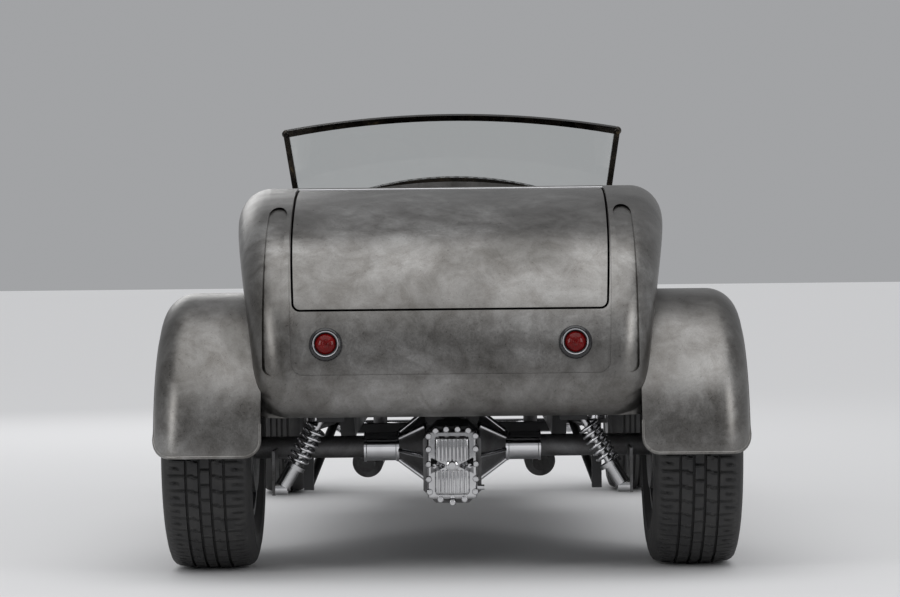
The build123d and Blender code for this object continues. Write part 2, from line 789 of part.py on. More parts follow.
def build_rear_fenders():
    """Bobbed rear fenders, each a spun arch cut to the body's side and to its own lip."""
    face = fender_face(
        REAR_FENDER_R, COCKPIT_HALF, REAR_FENDER_OUT, REAR_FENDER_SKIRT, REAR_FENDER_CORNER
    )
    place = Pos(REAR_AXLE_X, 0, REAR_TYRE_R)
    ring = place * revolve(across(0) * face, axis=Axis.Y)
    low = make_face(
        Polyline(
            (REAR_FENDER_IN, FENDER_LIP_Z), (REAR_FENDER_OUT, FENDER_LIP_Z),
            (REAR_FENDER_OUT, FAR / 4), (REAR_FENDER_IN, FAR / 4), close=True,
        )
    )
    low = fillet(low.vertices().group_by(Axis.Y)[0], FENDER_LIP_CORNER)
    rear = ring & rear_view(low, TAIL_X - WALL, REAR_AXLE_X)
    front = ring & block((REAR_AXLE_X, 0), (REAR_FENDER_IN, FAR), (FENDER_FRONT_Z, FAR))
    fender = (rear + front) - body_form(-SEAT_CLEARANCE)
    parts["rear_fender_left"] = fender
    parts["rear_fender_right"] = right_side(fender)


def build_front_fenders():
    """Front fenders that turn with their wheels, on stays from the knuckles' brake plates."""
    crown = FRONT_TYRE_R + FRONT_FENDER_GAP
    wheel_y = FRONT_TRACK / 2
    half = FRONT_TYRE_W / 2 + FRONT_FENDER_WIDER / 2
    half_face = fender_face(crown, wheel_y, wheel_y + half, FRONT_FENDER_SKIRT, FRONT_FENDER_CORNER)
    ring = revolve(across(0) * half_face, axis=Axis.Y)
    ring += mirror(ring, about=Plane.XZ.offset(-wheel_y))
    reach = 2 * crown
    wedge = [(0, 0)]
    for angle in (-FRONT_FENDER_BEHIND, -FRONT_FENDER_BEHIND / 2, 0, FRONT_FENDER_AHEAD):
        wedge.append((reach * sin(radians(angle)), reach * cos(radians(angle))))
    sector = extrude(along() * make_face(Polyline(*wedge, close=True)), amount=FAR / 4, both=True)
    fender = ring & sector
    plate_y = KINGPIN_Y + KINGPIN_BOSS_R + STEER_CLEARANCE + 2
    stay_y = plate_y - 2 * FENDER_STAY_R - 1
    for angle in (-FRONT_FENDER_BEHIND + 16, FRONT_FENDER_AHEAD - 16):
        turn = radians(angle)
        foot_r, top_r = BRAKE_R - 3 * FENDER_STAY_R, crown - FRONT_FENDER_SKIRT / 2
        foot = (foot_r * sin(turn), stay_y, foot_r * cos(turn))
        top = (top_r * sin(turn), wheel_y - half + FENDER_T / 2, top_r * cos(turn))
        fender += rod(foot, top, FENDER_STAY_R)
        fender += rod(foot, (foot[0], plate_y, foot[2]), 2 * FENDER_STAY_R)
    fender = Pos(FRONT_AXLE_X, 0, FRONT_TYRE_R) * fender
    parts["front_fender_left"] = fender
    parts["front_fender_right"] = right_side(fender)


def build_windshield():
    """Leaning frame with a bowed top rail, standing on the cowl, and its pane."""
    lean = radians(WINDSHIELD_LEAN)
    base = (ahead(WINDSHIELD_BASE), 0, WINDSHIELD_BASE_Z)
    plane = Plane(origin=base, x_dir=(0, 1, 0), z_dir=(cos(lean), 0, sin(lean)))
    below = WINDSHIELD_SILL
    slope = (POST_TOP_HALF - POST_BASE_HALF) / POST_LENGTH
    foot = POST_BASE_HALF - below * slope
    left, right = (POST_TOP_HALF, POST_LENGTH), (-POST_TOP_HALF, POST_LENGTH)
    outline = make_face(
        [
            Polyline(right, (-foot, -below), (foot, -below), left),
            ThreePointArc(left, (0, WINDSHIELD_CROWN), right),
        ]
    )
    outline = fillet(outline.vertices().group_by(Axis.Y)[-1], WINDSHIELD_BAR)
    b = WINDSHIELD_BAR
    top, crown = POST_LENGTH - b, WINDSHIELD_CROWN - b
    base_half = POST_BASE_HALF - b
    opening = make_face(
        [
            Polyline((-base_half - slope * top, top), (-base_half, 0)),
            ThreePointArc((-base_half, 0), (0, WINDSHIELD_SILL), (base_half, 0)),
            Polyline((base_half, 0), (base_half + slope * top, top)),
            ThreePointArc((base_half + slope * top, top), (0, crown), (-base_half - slope * top, top)),
        ]
    )
    outside = plane * extrude(outline, amount=WINDSHIELD_DEPTH / 2, both=True)
    hole = plane * extrude(opening, amount=WINDSHIELD_DEPTH, both=True)
    cowl = arch_form(COWL_REAR_SECTION, FIREWALL_SECTION, SEAT_CLEARANCE)
    parts["windshield_frame"] = outside - hole - cowl
    parts["windshield_glass"] = (plane * extrude(opening, amount=GLASS_T / 2, both=True)) - cowl


def rail_face():
    """Side view of a frame rail: level in the middle, climbing over the rear axle."""
    top, low = RAIL_TOP_Z, RAIL_TOP_Z - RAIL_H
    return make_face(
        Polyline(
            (ahead(RAIL_FRONT), top),
            (ahead(KICK_START), top),
            (ahead(KICK_END), top + KICK_H),
            (ahead(RAIL_REAR), top + KICK_H),
            (ahead(RAIL_REAR), low + KICK_H),
            (ahead(KICK_END), low + KICK_H),
            (ahead(KICK_START), low),
            (ahead(RAIL_FRONT), low),
            close=True,
        )
    )


def build_frame():
    """Side rails with jacking pads and damper brackets, crossmembers and the tow eye."""
    inner, outer = FRAME_HALF - RAIL_W / 2, FRAME_HALF + RAIL_W / 2
    low = RAIL_TOP_Z - RAIL_H
    raised = RAIL_TOP_Z + KICK_H
    rail = extrude(along(FRAME_HALF) * rail_face(), amount=RAIL_W / 2, both=True)
    length, width, depth = JACK_PAD
    for distance in JACK_PADS:
        x = ahead(distance)
        rail += block(
            (x - length / 2, x + length / 2), (FRAME_HALF - width / 2, FRAME_HALF + width / 2),
            (low - depth, low + depth),
        )
    x = REAR_AXLE_X - DAMPER_BEHIND
    gap = DAMPER_EYE_W / 2 + RUNNING_GAP
    ears = block(
        (x - gap - BRACKET_T, x + gap + BRACKET_T), (inner, DAMPER_TOP_Y + DAMPER_EYE_R),
        (DAMPER_TOP_Z - DAMPER_EYE_R, raised - RAIL_H + BRACKET_T),
    )
    ears -= block((x - gap, x + gap), (0, FAR), (0, raised - RAIL_H))
    reach = gap + BRACKET_T
    pin = rod(
        (x - reach, DAMPER_TOP_Y, DAMPER_TOP_Z), (x + reach, DAMPER_TOP_Y, DAMPER_TOP_Z), DAMPER_PIN_R
    )
    rail += (ears & block((-FAR, FAR), (inner, FAR), (0, raised - RAIL_H))) + pin
    parts["frame_rails"] = both_sides(rail)

    w = CROSSMEMBER_W
    bars = []
    # distance ahead of the rear axle, half length, low and high of a bar
    for distance, half, bottom, top in (
        (RAIL_REAR + w / 2, inner, raised - RAIL_H, raised),
        (-DAMPER_BEHIND, inner, raised - w, raised),
        (KICK_END - w, inner, raised - w, raised),
        (GEARBOX_REAR + 2 * w, outer, low - w / 2, low),
        (FIREWALL_SECTION[0] + ENGINE_L / 2, inner, low, ENGINE_BOTTOM_Z),
        (WHEELBASE, inner, low + LEAF_SEAT, RAIL_TOP_Z),
    ):
        x = ahead(distance)
        bars.append(block((x - w / 2, x + w / 2), (-half, half), (bottom, top)))
    x, z, r = ahead(RAIL_FRONT - 2 * SPREADER_R), RAIL_TOP_Z - RAIL_H / 2, TOW_EYE_R
    eye_x = x + SPREADER_R + 2 * r
    spreader = rod((x, -inner, z), (x, inner, z), SPREADER_R)
    spreader += block((x, eye_x), (-2 * r, 2 * r), (z - TOW_EYE_T / 2, z + TOW_EYE_T / 2))
    spreader += Pos(eye_x, 0, z) * Cylinder(2 * r, TOW_EYE_T)
    spreader -= Pos(eye_x, 0, z) * Cylinder(r, 4 * TOW_EYE_T)
    parts["frame_crossmembers"] = gather([*bars, spreader])
    build_floor()


def build_floor():
    """Cockpit floor with its tunnel, trunk floor over the raised rails, bulkhead and seat bases."""
    t = FLOOR_T
    half = BODY_SECTIONS[-1][1] - 2 * PANEL_GAP
    step_x = ahead(KICK_START)
    raised = RAIL_TOP_Z + KICK_H
    floor = block((step_x, FIREWALL_X), (-half, half), (RAIL_TOP_Z, SILL_Z))
    floor -= block((step_x - t, FIREWALL_X + t), (-TUNNEL_HALF, TUNNEL_HALF), (0, FAR))
    outer = TUNNEL_HALF + TUNNEL_T
    tunnel = block((step_x, FIREWALL_X), (-outer, outer), (RAIL_TOP_Z, TUNNEL_Z))
    tunnel -= block((step_x - t, FIREWALL_X + t), (-TUNNEL_HALF, TUNNEL_HALF), (0, TUNNEL_Z - TUNNEL_T))
    inside = body_form(WALL + SEAT_CLEARANCE)
    tub = wheel_space(TUB_WALL + SEAT_CLEARANCE)
    trunk = block((TAIL_X, step_x), (-FAR, FAR), (raised, raised + t)) & inside
    trunk = trunk - tub - right_side(tub)
    wall_x = ahead(COCKPIT_REAR) - 2 * t
    bulkhead = inside & block((wall_x, wall_x + t), (-FAR, FAR), (raised + t, FAR))
    seat_front = ahead(SEAT_REAR) + SEAT_BACK_T + SEAT_L - SEAT_OVERHANG
    base = block((step_x, seat_front), (outer, SEAT_HALF - SEAT_OVERHANG), (SILL_Z, TUNNEL_Z))
    parts["floor_panels"] = gather([floor + tunnel, trunk, bulkhead, base, right_side(base)])


def build_rear_axle():
    """Quick-change axle: tubes, ribbed bells and gear case in one housing, and its ribbed cover."""
    x, z = REAR_AXLE_X, REAR_TYRE_R
    end_y = REAR_TRACK / 2 - REAR_TYRE_W / 4
    spindle_y = REAR_TRACK / 2 + wheel_face(REAR_TYRE_W)
    case_z = z - HOUSING_DROP
    low, high = case_z - HOUSING_H / 2, case_z + HOUSING_H / 2
    case = block((x + HOUSING_REAR, x + HOUSING_FRONT), (-HOUSING_HALF, HOUSING_HALF), (low, high))
    case = chamfer(case.edges().filter_by(Axis.X), HOUSING_H / 6)
    housing = case + rod((x, -spindle_y, z), (x, spindle_y, z), AXLE_TUBE_R)
    bell_in, bell_out = BELL_Y
    side = Plane(origin=(x, bell_in, z), z_dir=(0, 1, 0)) * Cone(
        BELL_R, BELL_SNOUT_R, bell_out - bell_in, align=(Align.CENTER, Align.CENTER, Align.MIN)
    )
    side += rod((x, bell_out - BELL_RIB_R, z), (x, bell_out + BELL_SNOUT_L, z), BELL_SNOUT_R)
    for number in range(BELL_RIBS):
        angle = radians(360 * number / BELL_RIBS)
        root, tip = BELL_R + BELL_RIB_R / 3, BELL_SNOUT_R + BELL_RIB_R / 3
        side += rod(
            (x + root * sin(angle), bell_in, z + root * cos(angle)),
            (x + tip * sin(angle), bell_out, z + tip * cos(angle)),
            BELL_RIB_R,
        )
    side += rod((x, end_y - 4 * BRAKE_T, z), (x, end_y - 3 * BRAKE_T, z), BRAKE_R)
    damper_x, eye_y = x - DAMPER_BEHIND, DAMPER_LOW_Y + DAMPER_EYE_W / 2
    bracket_y = eye_y + RUNNING_GAP
    side += block(
        (damper_x - DAMPER_EYE_R, x), (bracket_y, bracket_y + BRACKET_T), (DAMPER_LOW_Z - DAMPER_EYE_R, z)
    )
    side += rod(
        (damper_x, eye_y - DAMPER_EYE_W - BRACKET_T, DAMPER_LOW_Z), (damper_x, bracket_y + 1, DAMPER_LOW_Z),
        DAMPER_PIN_R,
    )
    parts["rear_axle_housing"] = housing + side + right_side(side)

    rear_x = x + HOUSING_REAR
    face_x = rear_x - COVER_T
    half_w, half_h = COVER_W / 2, COVER_H / 2
    cover = block((face_x, rear_x), (-half_w, half_w), (case_z - half_h, case_z + half_h))
    cover = fillet(cover.edges().filter_by(Axis.X), COVER_W / 5)
    rib_half = half_h - COVER_RIB_MARGIN
    for number in range(COVER_RIBS):
        y = (number - (COVER_RIBS - 1) / 2) * COVER_RIB_R * 2
        cover += rod((face_x, y, case_z - rib_half), (face_x, y, case_z + rib_half), COVER_RIB_R)
    for y_share, z_share in COVER_BOLTS:
        for sign in (-1, 1):
            bolt_y, bolt_z = sign * y_share * half_w, case_z + z_share * half_h
            cover += rod((rear_x, bolt_y, bolt_z), (face_x - BRACKET_T, bolt_y, bolt_z), COVER_BOLT_R)
    parts["quick_change_cover"] = cover


def build_dampers():
    """Coil-over dampers between the axle's brackets and the brackets under the raised rails."""
    x = REAR_AXLE_X - DAMPER_BEHIND
    low, top = Vector(x, DAMPER_LOW_Y, DAMPER_LOW_Z), Vector(x, DAMPER_TOP_Y, DAMPER_TOP_Z)
    way = (top - low).normalized()
    body_end = low + way * DAMPER_BODY_L
    half = DAMPER_EYE_W / 2
    eye = rod((x, low.Y - half, low.Z), (x, low.Y + half, low.Z), DAMPER_EYE_R)
    top_eye = rod((x - half, top.Y, top.Z), (x + half, top.Y, top.Z), DAMPER_EYE_R)
    body_start = low + way * DAMPER_EYE_R / 2
    damper = eye + rod(body_start, body_end, DAMPER_BODY_R) + rod(low, top, DAMPER_BODY_R / 2) + top_eye
    damper += rod(body_end - way * SPRING_SEAT_T, body_end, SPRING_R + SPRING_WIRE_R)
    hole = DAMPER_PIN_R + RUNNING_GAP
    damper -= rod((x, low.Y - FAR / 8, low.Z), (x, low.Y + FAR / 8, low.Z), hole)
    damper -= rod((x - FAR / 8, top.Y, top.Z), (x + FAR / 8, top.Y, top.Z), hole)
    parts["coil_over_dampers"] = both_sides(damper)
    length = (top - body_end).length - DAMPER_EYE_R - SPRING_SEAT_T
    core_r = DAMPER_BODY_R / 2 + RUNNING_GAP
    pitch = length / SPRING_COILS
    outline = [Polyline((SPRING_R, length), (core_r, length), (core_r, 0), (SPRING_R, 0))]
    z = 0
    for number in range(SPRING_COILS):
        middle = pitch * (number + 0.5)
        start, end = middle - SPRING_WIRE_R, middle + SPRING_WIRE_R
        outline.append(Line((SPRING_R, z), (SPRING_R, start)))
        outline.append(
            ThreePointArc((SPRING_R, start), (SPRING_R + SPRING_WIRE_R, middle), (SPRING_R, end))
        )
        z = end
    outline.append(Line((SPRING_R, z), (SPRING_R, length)))
    spring = revolve(Plane.XZ * make_face(outline), axis=Axis.Z)
    parts["coil_over_springs"] = both_sides(Plane(origin=body_end, z_dir=way) * spring)


def build_radius_arms():
    """Rear radius arms from the axle forward to the rails."""
    z = REAR_TYRE_R
    y = DAMPER_LOW_Y - ARM_INBOARD
    x = REAR_AXLE_X
    low, high = z - ARM_DROP, z + ARM_RISE
    arm = block((x - ARM_R, x + ARM_R), (y - ARM_R, y + ARM_R), (low - ARM_R, high + ARM_R))
    arm -= rod((x, -FAR, z), (x, FAR, z), AXLE_TUBE_R + SEAT_CLEARANCE)
    eye_y = FRAME_HALF + RAIL_W / 2
    front = (ahead(ARM_FRONT), eye_y + ROD_EYE_R, RAIL_TOP_Z - RAIL_H / 2)
    for height in (low, high):
        arm += rod((x, y, height), front, ARM_R)
    arm += rod((front[0], eye_y, front[2]), (front[0], eye_y + 2 * ROD_EYE_R, front[2]), ROD_EYE_R)
    parts["radius_arms"] = both_sides(arm)


def build_front_axle():
    """Dropped tube axle with a boss for each kingpin, transverse spring and hairpin rods."""
    x, z = FRONT_AXLE_X, FRONT_TYRE_R
    beam_z = z - AXLE_DROP
    bend_y = KINGPIN_Y - AXLE_BEND
    axle = rod((x, -bend_y, beam_z), (x, bend_y, beam_z), FRONT_AXLE_R)
    half_boss = KNUCKLE_BOSS / 2
    for side in (-1, 1):
        y = side * KINGPIN_Y
        bend = Pos(x, side * bend_y, beam_z) * Sphere(FRONT_AXLE_R + 1)
        arm = bend + rod((x, side * bend_y, beam_z), (x, y, z), FRONT_AXLE_R)
        arm -= rod((x, y, 0), (x, y, z - half_boss + 1), KINGPIN_BOSS_R + 4 * STEER_CLEARANCE)
        arm -= rod((x, y, z + half_boss - 1), (x, y, 2 * z), KINGPIN_BOSS_R + 4 * STEER_CLEARANCE)
        axle += arm
        axle += rod((x, y, z - half_boss), (x, y, z + half_boss), KINGPIN_BOSS_R)
        axle -= rod((x, y, 0), (x, y, 2 * z), KINGPIN_R + RUNNING_GAP)
    parts["front_axle"] = axle

    half, rise, leaf = KINGPIN_Y - AXLE_BEND - 20, LEAF_RISE, LEAF_T
    top_z = RAIL_TOP_Z - RAIL_H + LEAF_SEAT
    spring = make_face(
        [
            ThreePointArc((-half, top_z - rise), (0, top_z), (half, top_z - rise)),
            Polyline((half, top_z - rise), (half, top_z - rise - leaf)),
            ThreePointArc((half, top_z - rise - leaf), (0, top_z - leaf), (-half, top_z - rise - leaf)),
            Polyline((-half, top_z - rise - leaf), (-half, top_z - rise)),
        ]
    )
    parts["front_spring"] = extrude(across(x) * spring, amount=LEAF_W / 2, both=True)

    eye_y = FRAME_HALF + RAIL_W / 2
    rear = (ahead(HAIRPIN_REAR), eye_y + ROD_EYE_R, RAIL_TOP_Z - RAIL_H / 2)
    y = bend_y - FRONT_AXLE_R - STEER_CLEARANCE
    spread = FRONT_AXLE_R + HAIRPIN_R / 2
    hairpin = block(
        (x - spread, x + spread), (y - HAIRPIN_R, y + HAIRPIN_R),
        (beam_z - spread - HAIRPIN_R, beam_z + spread + HAIRPIN_R),
    )
    hairpin -= rod((x, -FAR, beam_z), (x, FAR, beam_z), FRONT_AXLE_R + SEAT_CLEARANCE)
    for height in (beam_z - spread, beam_z + spread):
        hairpin += rod((x - spread + HAIRPIN_R, y, height), rear, HAIRPIN_R)
    hairpin += rod((rear[0], eye_y, rear[2]), (rear[0], eye_y + 2 * ROD_EYE_R, rear[2]), ROD_EYE_R)
    parts["hairpin_rods"] = both_sides(hairpin)


def build_steering():
    """Steered knuckles with their arms, the tie rod between them, column and steering wheel."""
    x, z = FRONT_AXLE_X, FRONT_TYRE_R
    boss = KNUCKLE_BOSS / 2 + RUNNING_GAP
    ear = KNUCKLE_EAR
    plate_y = KINGPIN_Y + KINGPIN_BOSS_R + STEER_CLEARANCE
    half = KNUCKLE_HALF
    knuckle = block((x - half, x + half), (plate_y, plate_y + ear), (z - boss - ear, z + boss + ear))
    for low in (z - boss - ear, z + boss):
        knuckle += block((x - half, x + half), (KINGPIN_Y, plate_y + 2), (low, low + ear))
        knuckle += rod((x, KINGPIN_Y, low), (x, KINGPIN_Y, low + ear), half)
    knuckle += rod((x, KINGPIN_Y, z - boss - ear), (x, KINGPIN_Y, z + boss + ear), KINGPIN_R)
    spindle_y = FRONT_TRACK / 2 + wheel_face(FRONT_TYRE_W)
    knuckle += rod((x, plate_y, z), (x, spindle_y, z), SPINDLE_R)
    knuckle += rod((x, plate_y + 2, z), (x, plate_y + 2 + BRAKE_T, z), BRAKE_R)
    eye_x, eye_z = x - STEER_ARM, LINK_Z + LINK_RISE
    knuckle += rod((x, KINGPIN_Y, z - boss - ear / 2), (eye_x, KINGPIN_Y, eye_z), LINK_R)
    half_eye = LINK_EYE_H / 2
    eye = rod((eye_x, KINGPIN_Y, eye_z - half_eye), (eye_x, KINGPIN_Y, eye_z + half_eye), LINK_EYE_R)
    pin_low, pin_high = (eye_x, KINGPIN_Y, eye_z - LINK_RISE), (eye_x, KINGPIN_Y, eye_z + LINK_RISE)
    knuckle = knuckle + eye - rod(pin_low, pin_high, LINK_PIN_R + RUNNING_GAP)
    parts["knuckle_left"] = knuckle
    parts["knuckle_right"] = right_side(knuckle)

    link = rod((eye_x, -KINGPIN_Y, LINK_Z), (eye_x, KINGPIN_Y, LINK_Z), LINK_R)
    for side in (-1, 1):
        y = side * KINGPIN_Y
        link += rod((eye_x, y, LINK_Z - LINK_EYE_R), (eye_x, y, eye_z - half_eye - 1), LINK_EYE_R)
        link += rod((eye_x, y, LINK_Z), (eye_x, y, eye_z + LINK_EYE_H), LINK_PIN_R)
    parts["tie_rod"] = link

    top = Vector(ahead(STEER_WHEEL[0]), STEER_WHEEL[1], STEER_WHEEL[2])
    foot = Vector(FIREWALL_X, STEER_WHEEL[1], COLUMN_FOOT_Z)
    way = (top - foot).normalized()
    column = rod(foot, top - way * 40, COLUMN_R) & block((-FAR, FIREWALL_X), (-FAR, FAR), (0, FAR))
    dash_x = COWL_REAR_X + 2 * DASH_T
    hang = foot.Z + (FIREWALL_X - dash_x - DASH_T / 2) * (top.Z - foot.Z) / (FIREWALL_X - top.X)
    column += block((dash_x, dash_x + DASH_T), (top.Y - COLUMN_R, top.Y + COLUMN_R), (hang, DASH_BOTTOM_Z))
    parts["steering_column"] = column
    plane = Plane(origin=top, z_dir=way)
    wheel = Torus(STEER_WHEEL_R, STEER_RIM_R)
    wheel += Pos(0, 0, -20) * Cylinder(34, 39)
    for angle in (90, 210, 330):
        wheel += Rot(0, 0, angle) * Pos(STEER_WHEEL_R / 2, 0, -6) * Box(STEER_WHEEL_R, 30, 5)
    parts["steering_wheel"] = plane * wheel


def wheel_face(tyre_w):
    """Where a wheel's spokes start, outboard of its middle."""
    return (tyre_w - RIM_NARROWER) / 2 - HUB_L


def make_wheel(name, axle_x, side, track, tyre_r, tyre_w, shaft_r):
    """A tyre and its spoked wheel, standing on the ground at one corner of the car."""
    rim_half = (tyre_w - RIM_NARROWER) / 2
    bead = rim_half - RIM_WALL
    tread = tyre_w / 2 - 16
    flange_r = RIM_R + RIM_FLANGE
    middle_r = (flange_r + tyre_r) / 2
    section = make_face(
        [
            Polyline((-bead, flange_r), (-bead, RIM_R), (bead, RIM_R), (bead, flange_r)),
            ThreePointArc((bead, flange_r), (tyre_w / 2, middle_r), (tread, tyre_r - TREAD_DROP)),
            ThreePointArc((tread, tyre_r - TREAD_DROP), (0, tyre_r), (-tread, tyre_r - TREAD_DROP)),
            ThreePointArc((-tread, tyre_r - TREAD_DROP), (-tyre_w / 2, middle_r), (-bead, flange_r)),
        ]
    )
    spin = across(0)
    place = Pos(axle_x, side * track / 2, tyre_r)
    parts[f"tyre_{name}"] = place * revolve(spin * section, axis=Axis.Y)
    barrel = make_face(
        Polyline(
            (-rim_half, RIM_R - RIM_WALL), (-rim_half, flange_r), (-bead, flange_r), (-bead, RIM_R),
            (bead, RIM_R), (bead, flange_r), (rim_half, flange_r), (rim_half, RIM_R - RIM_WALL),
            close=True,
        )
    )
    wheel = revolve(spin * barrel, axis=Axis.Y)
    face_y = wheel_face(tyre_w)
    wheel += rod((0, face_y - HUB_L / 3, 0), (0, face_y + HUB_L / 2, 0), HUB_R)
    wheel += rod((0, face_y, 0), (0, face_y + HUB_L / 2 + 14, 0), CAP_R)
    for number in range(SPOKES):
        turn = Rot(0, 360 * number / SPOKES, 0)
        reach = RIM_R - RIM_WALL / 2
        wheel += turn * block((-SPOKE_W / 2, SPOKE_W / 2), (face_y, face_y + SPOKE_T), (HUB_R - 10, reach))
        lug_turn = Rot(0, 360 * (number + 0.5) / SPOKES, 0)
        lug_end = (0, face_y + HUB_L / 2 + LUG_L, LUG_CIRCLE_R)
        wheel += lug_turn * rod((0, face_y, LUG_CIRCLE_R), lug_end, LUG_R)
    wheel -= rod((0, -FAR / 4, 0), (0, face_y + HUB_L / 3, 0), shaft_r + RUNNING_GAP)
    if side < 0:
        wheel = right_side(wheel)
    parts[f"wheel_{name}"] = place * wheel


def build_wheels():
    """Wide tyres at the back, narrow ones in front."""
    for side, word in ((1, "left"), (-1, "right")):
        make_wheel(f"rear_{word}", REAR_AXLE_X, side, REAR_TRACK, REAR_TYRE_R, REAR_TYRE_W, AXLE_TUBE_R)
        make_wheel(f"front_{word}", FRONT_AXLE_X, side, FRONT_TRACK, FRONT_TYRE_R, FRONT_TYRE_W, SPINDLE_R)


def build_driveline():
    """Engine and gearbox as plain masses, and the exhaust pipes under the floor."""
    engine_x = FIREWALL_X + FIREWALL_T + 4 * HOOD_GAP
    engine = block(
        (engine_x, engine_x + ENGINE_L), (-ENGINE_HALF, ENGINE_HALF), (ENGINE_BOTTOM_Z, ENGINE_TOP_Z)
    )
    top_edges = engine.edges().filter_by(Axis.X).group_by(Axis.Z)[-1]
    parts["engine_block"] = chamfer(top_edges, ENGINE_HALF / 2)
    gearbox = block(
        (ahead(GEARBOX_REAR), engine_x), (-GEARBOX_HALF, GEARBOX_HALF), (RAIL_TOP_Z - RAIL_H, GEARBOX_TOP_Z)
    )
    shaft = rod((REAR_AXLE_X + HOUSING_FRONT, 0, SHAFT_Z), (ahead(GEARBOX_REAR), 0, SHAFT_Z), SHAFT_R)
    parts["gearbox_and_shaft"] = gather([gearbox, shaft])
    start_x = engine_x + PIPE_START
    port_z = ENGINE_BOTTOM_Z + PIPE_PORT
    path = FilletPolyline(
        (start_x, PIPE_Y, port_z), (start_x, PIPE_Y, PIPE_Z), (ahead(PIPE_REAR), PIPE_Y, PIPE_Z),
        radius=3 * PIPE_R,
    )
    pipe = sweep(Plane(origin=path @ 0, z_dir=path % 0) * Circle(PIPE_R), path=path)
    pipe += block(
        (start_x - PIPE_R, start_x + PIPE_R), (ENGINE_HALF, PIPE_Y), (port_z - 2 * PIPE_R, port_z)
    )
    muffler_x = ahead(PIPE_REAR) + 2 * MUFFLER_R
    pipe += rod((muffler_x, PIPE_Y, PIPE_Z), (muffler_x + MUFFLER_L, PIPE_Y, PIPE_Z), MUFFLER_R)
    parts["exhaust_pipes"] = both_sides(pipe)


def build_headlamps():
    """Bullet headlamps on stands from the rails."""
    x = ahead(HEADLAMP_AHEAD)
    r, length, y, z = HEADLAMP_R, HEADLAMP_L, HEADLAMP_Y, HEADLAMP_Z
    tip = r / 12
    profile = make_face(
        [
            Polyline((0, tip), (0, 0), (length, 0), (length, r), (length - r / 5, r)),
            ThreePointArc((length - r / 5, r), (length * 0.3, r * 0.72), (0, tip)),
        ]
    )
    front_x = x + length / 2
    shell = Pos(x - length / 2, y, z) * revolve(profile, axis=Axis.X)
    bowl_r = r - HEADLAMP_RIM
    shell -= rod((front_x - HEADLAMP_BOWL, y, z), (front_x + length, y, z), bowl_r)
    foot_top = RAIL_TOP_Z + HEADLAMP_STAND_R
    foot = rod((x, FRAME_HALF, RAIL_TOP_Z), (x, FRAME_HALF, foot_top), RAIL_W / 2 - 2)
    stand = rod((x, FRAME_HALF, foot_top - 4), (x, y, z - r / 4), HEADLAMP_STAND_R)
    parts["headlamp_shells"] = both_sides(shell + foot + stand)
    lens = domed_lens(bowl_r - RUNNING_GAP, 0, HEADLAMP_BOWL, HEADLAMP_BOWL)
    parts["headlamp_lenses"] = both_sides(Plane(origin=(front_x, y, z), z_dir=(1, 0, 0)) * lens)


def build_cockpit():
    """Bench seat, pedals and shift lever."""
    x = ahead(SEAT_REAR)
    front_x = x + SEAT_BACK_T
    cushion = block(
        (front_x, front_x + SEAT_L), (-SEAT_HALF, SEAT_HALF), (TUNNEL_Z + SEAT_CLEARANCE, TUNNEL_Z + SEAT_H)
    )
    parts["seat_cushion"] = fillet(cushion.edges(), SEAT_H / 4)
    foot_z = TUNNEL_Z + SEAT_H / 2
    back = make_face(
        Polyline(
            (front_x - SEAT_CLEARANCE, foot_z), (front_x - SEAT_RAKE, SEAT_BACK_TOP_Z),
            (x, SEAT_BACK_TOP_Z), (x, foot_z), close=True,
        )
    )
    back = extrude(along() * back, amount=SEAT_HALF, both=True)
    parts["seat_back"] = fillet(back.edges(), SEAT_RAKE / 2)
    controls = []
    pad_x = FIREWALL_X - PEDAL_REACH
    for y in PEDAL_YS:
        width, height = (y - PEDAL_W / 2, y + PEDAL_W / 2), (PEDAL_Z, PEDAL_Z + PEDAL_H)
        pad = block((pad_x - PEDAL_ARM_R, pad_x + PEDAL_ARM_R), width, height)
        arm_end = (FIREWALL_X + PEDAL_REACH, y, PEDAL_Z + 4 * PEDAL_H)
        arm = rod((pad_x, y, PEDAL_Z + PEDAL_H - PEDAL_ARM_R), arm_end, PEDAL_ARM_R)
        controls.append((pad + arm) & block((-FAR, FIREWALL_X), (-FAR, FAR), (0, FAR)))
    x, z = ahead(LEVER_AT), TUNNEL_Z
    knob = (x - LEVER_LEAN, 0, z + LEVER_H)
    lever = rod((x, 0, z), (x, 0, z + LEVER_R), 5 * LEVER_R) + rod((x, 0, z + LEVER_R / 2), knob, LEVER_R)
    lever += Pos(*knob) * Sphere(3 * LEVER_R)
    parts["pedals_and_lever"] = gather([*controls, lever])


def build_hinge_rods():
    """Rods of the deck lid, between the sides of its opening, and of the hood tops."""
    x = LID_FRONT_X + LID_ROD_R + RUNNING_GAP
    z = deck_z(x, REVEAL_DEPTH)
    half = lid_half(z - LID_ROD_R) + PANEL_GAP
    lid_rod = rod((x, -half, z), (x, half, z), LID_ROD_R)
    rear_x = FIREWALL_X + FIREWALL_T
    hood_rod = rod((rear_x, 0, hood_crown(rear_x)), (GRILLE_X, 0, hood_crown(GRILLE_X)), HOOD_ROD_R)
    hood_rod &= block((rear_x, GRILLE_X), (-FAR, FAR), (0, FAR))
    parts["hinge_rods"] = gather([lid_rod, hood_rod])


def main():
    os.makedirs("parts", exist_ok=True)
    form = body_form()
    build_body(form)
    build_hinge_rods()
    build_tail_lamps()
    build_cowl()
    build_hood()
    build_windshield()
    build_rear_fenders()
    build_front_fenders()
    build_frame()
    build_rear_axle()
    build_dampers()
    build_radius_arms()
    build_front_axle()
    build_steering()
    build_wheels()
    build_driveline()
    build_headlamps()
    build_cockpit()
    for name, shape in parts.items():
        export_step(shape, f"parts/{name}.step")


main()
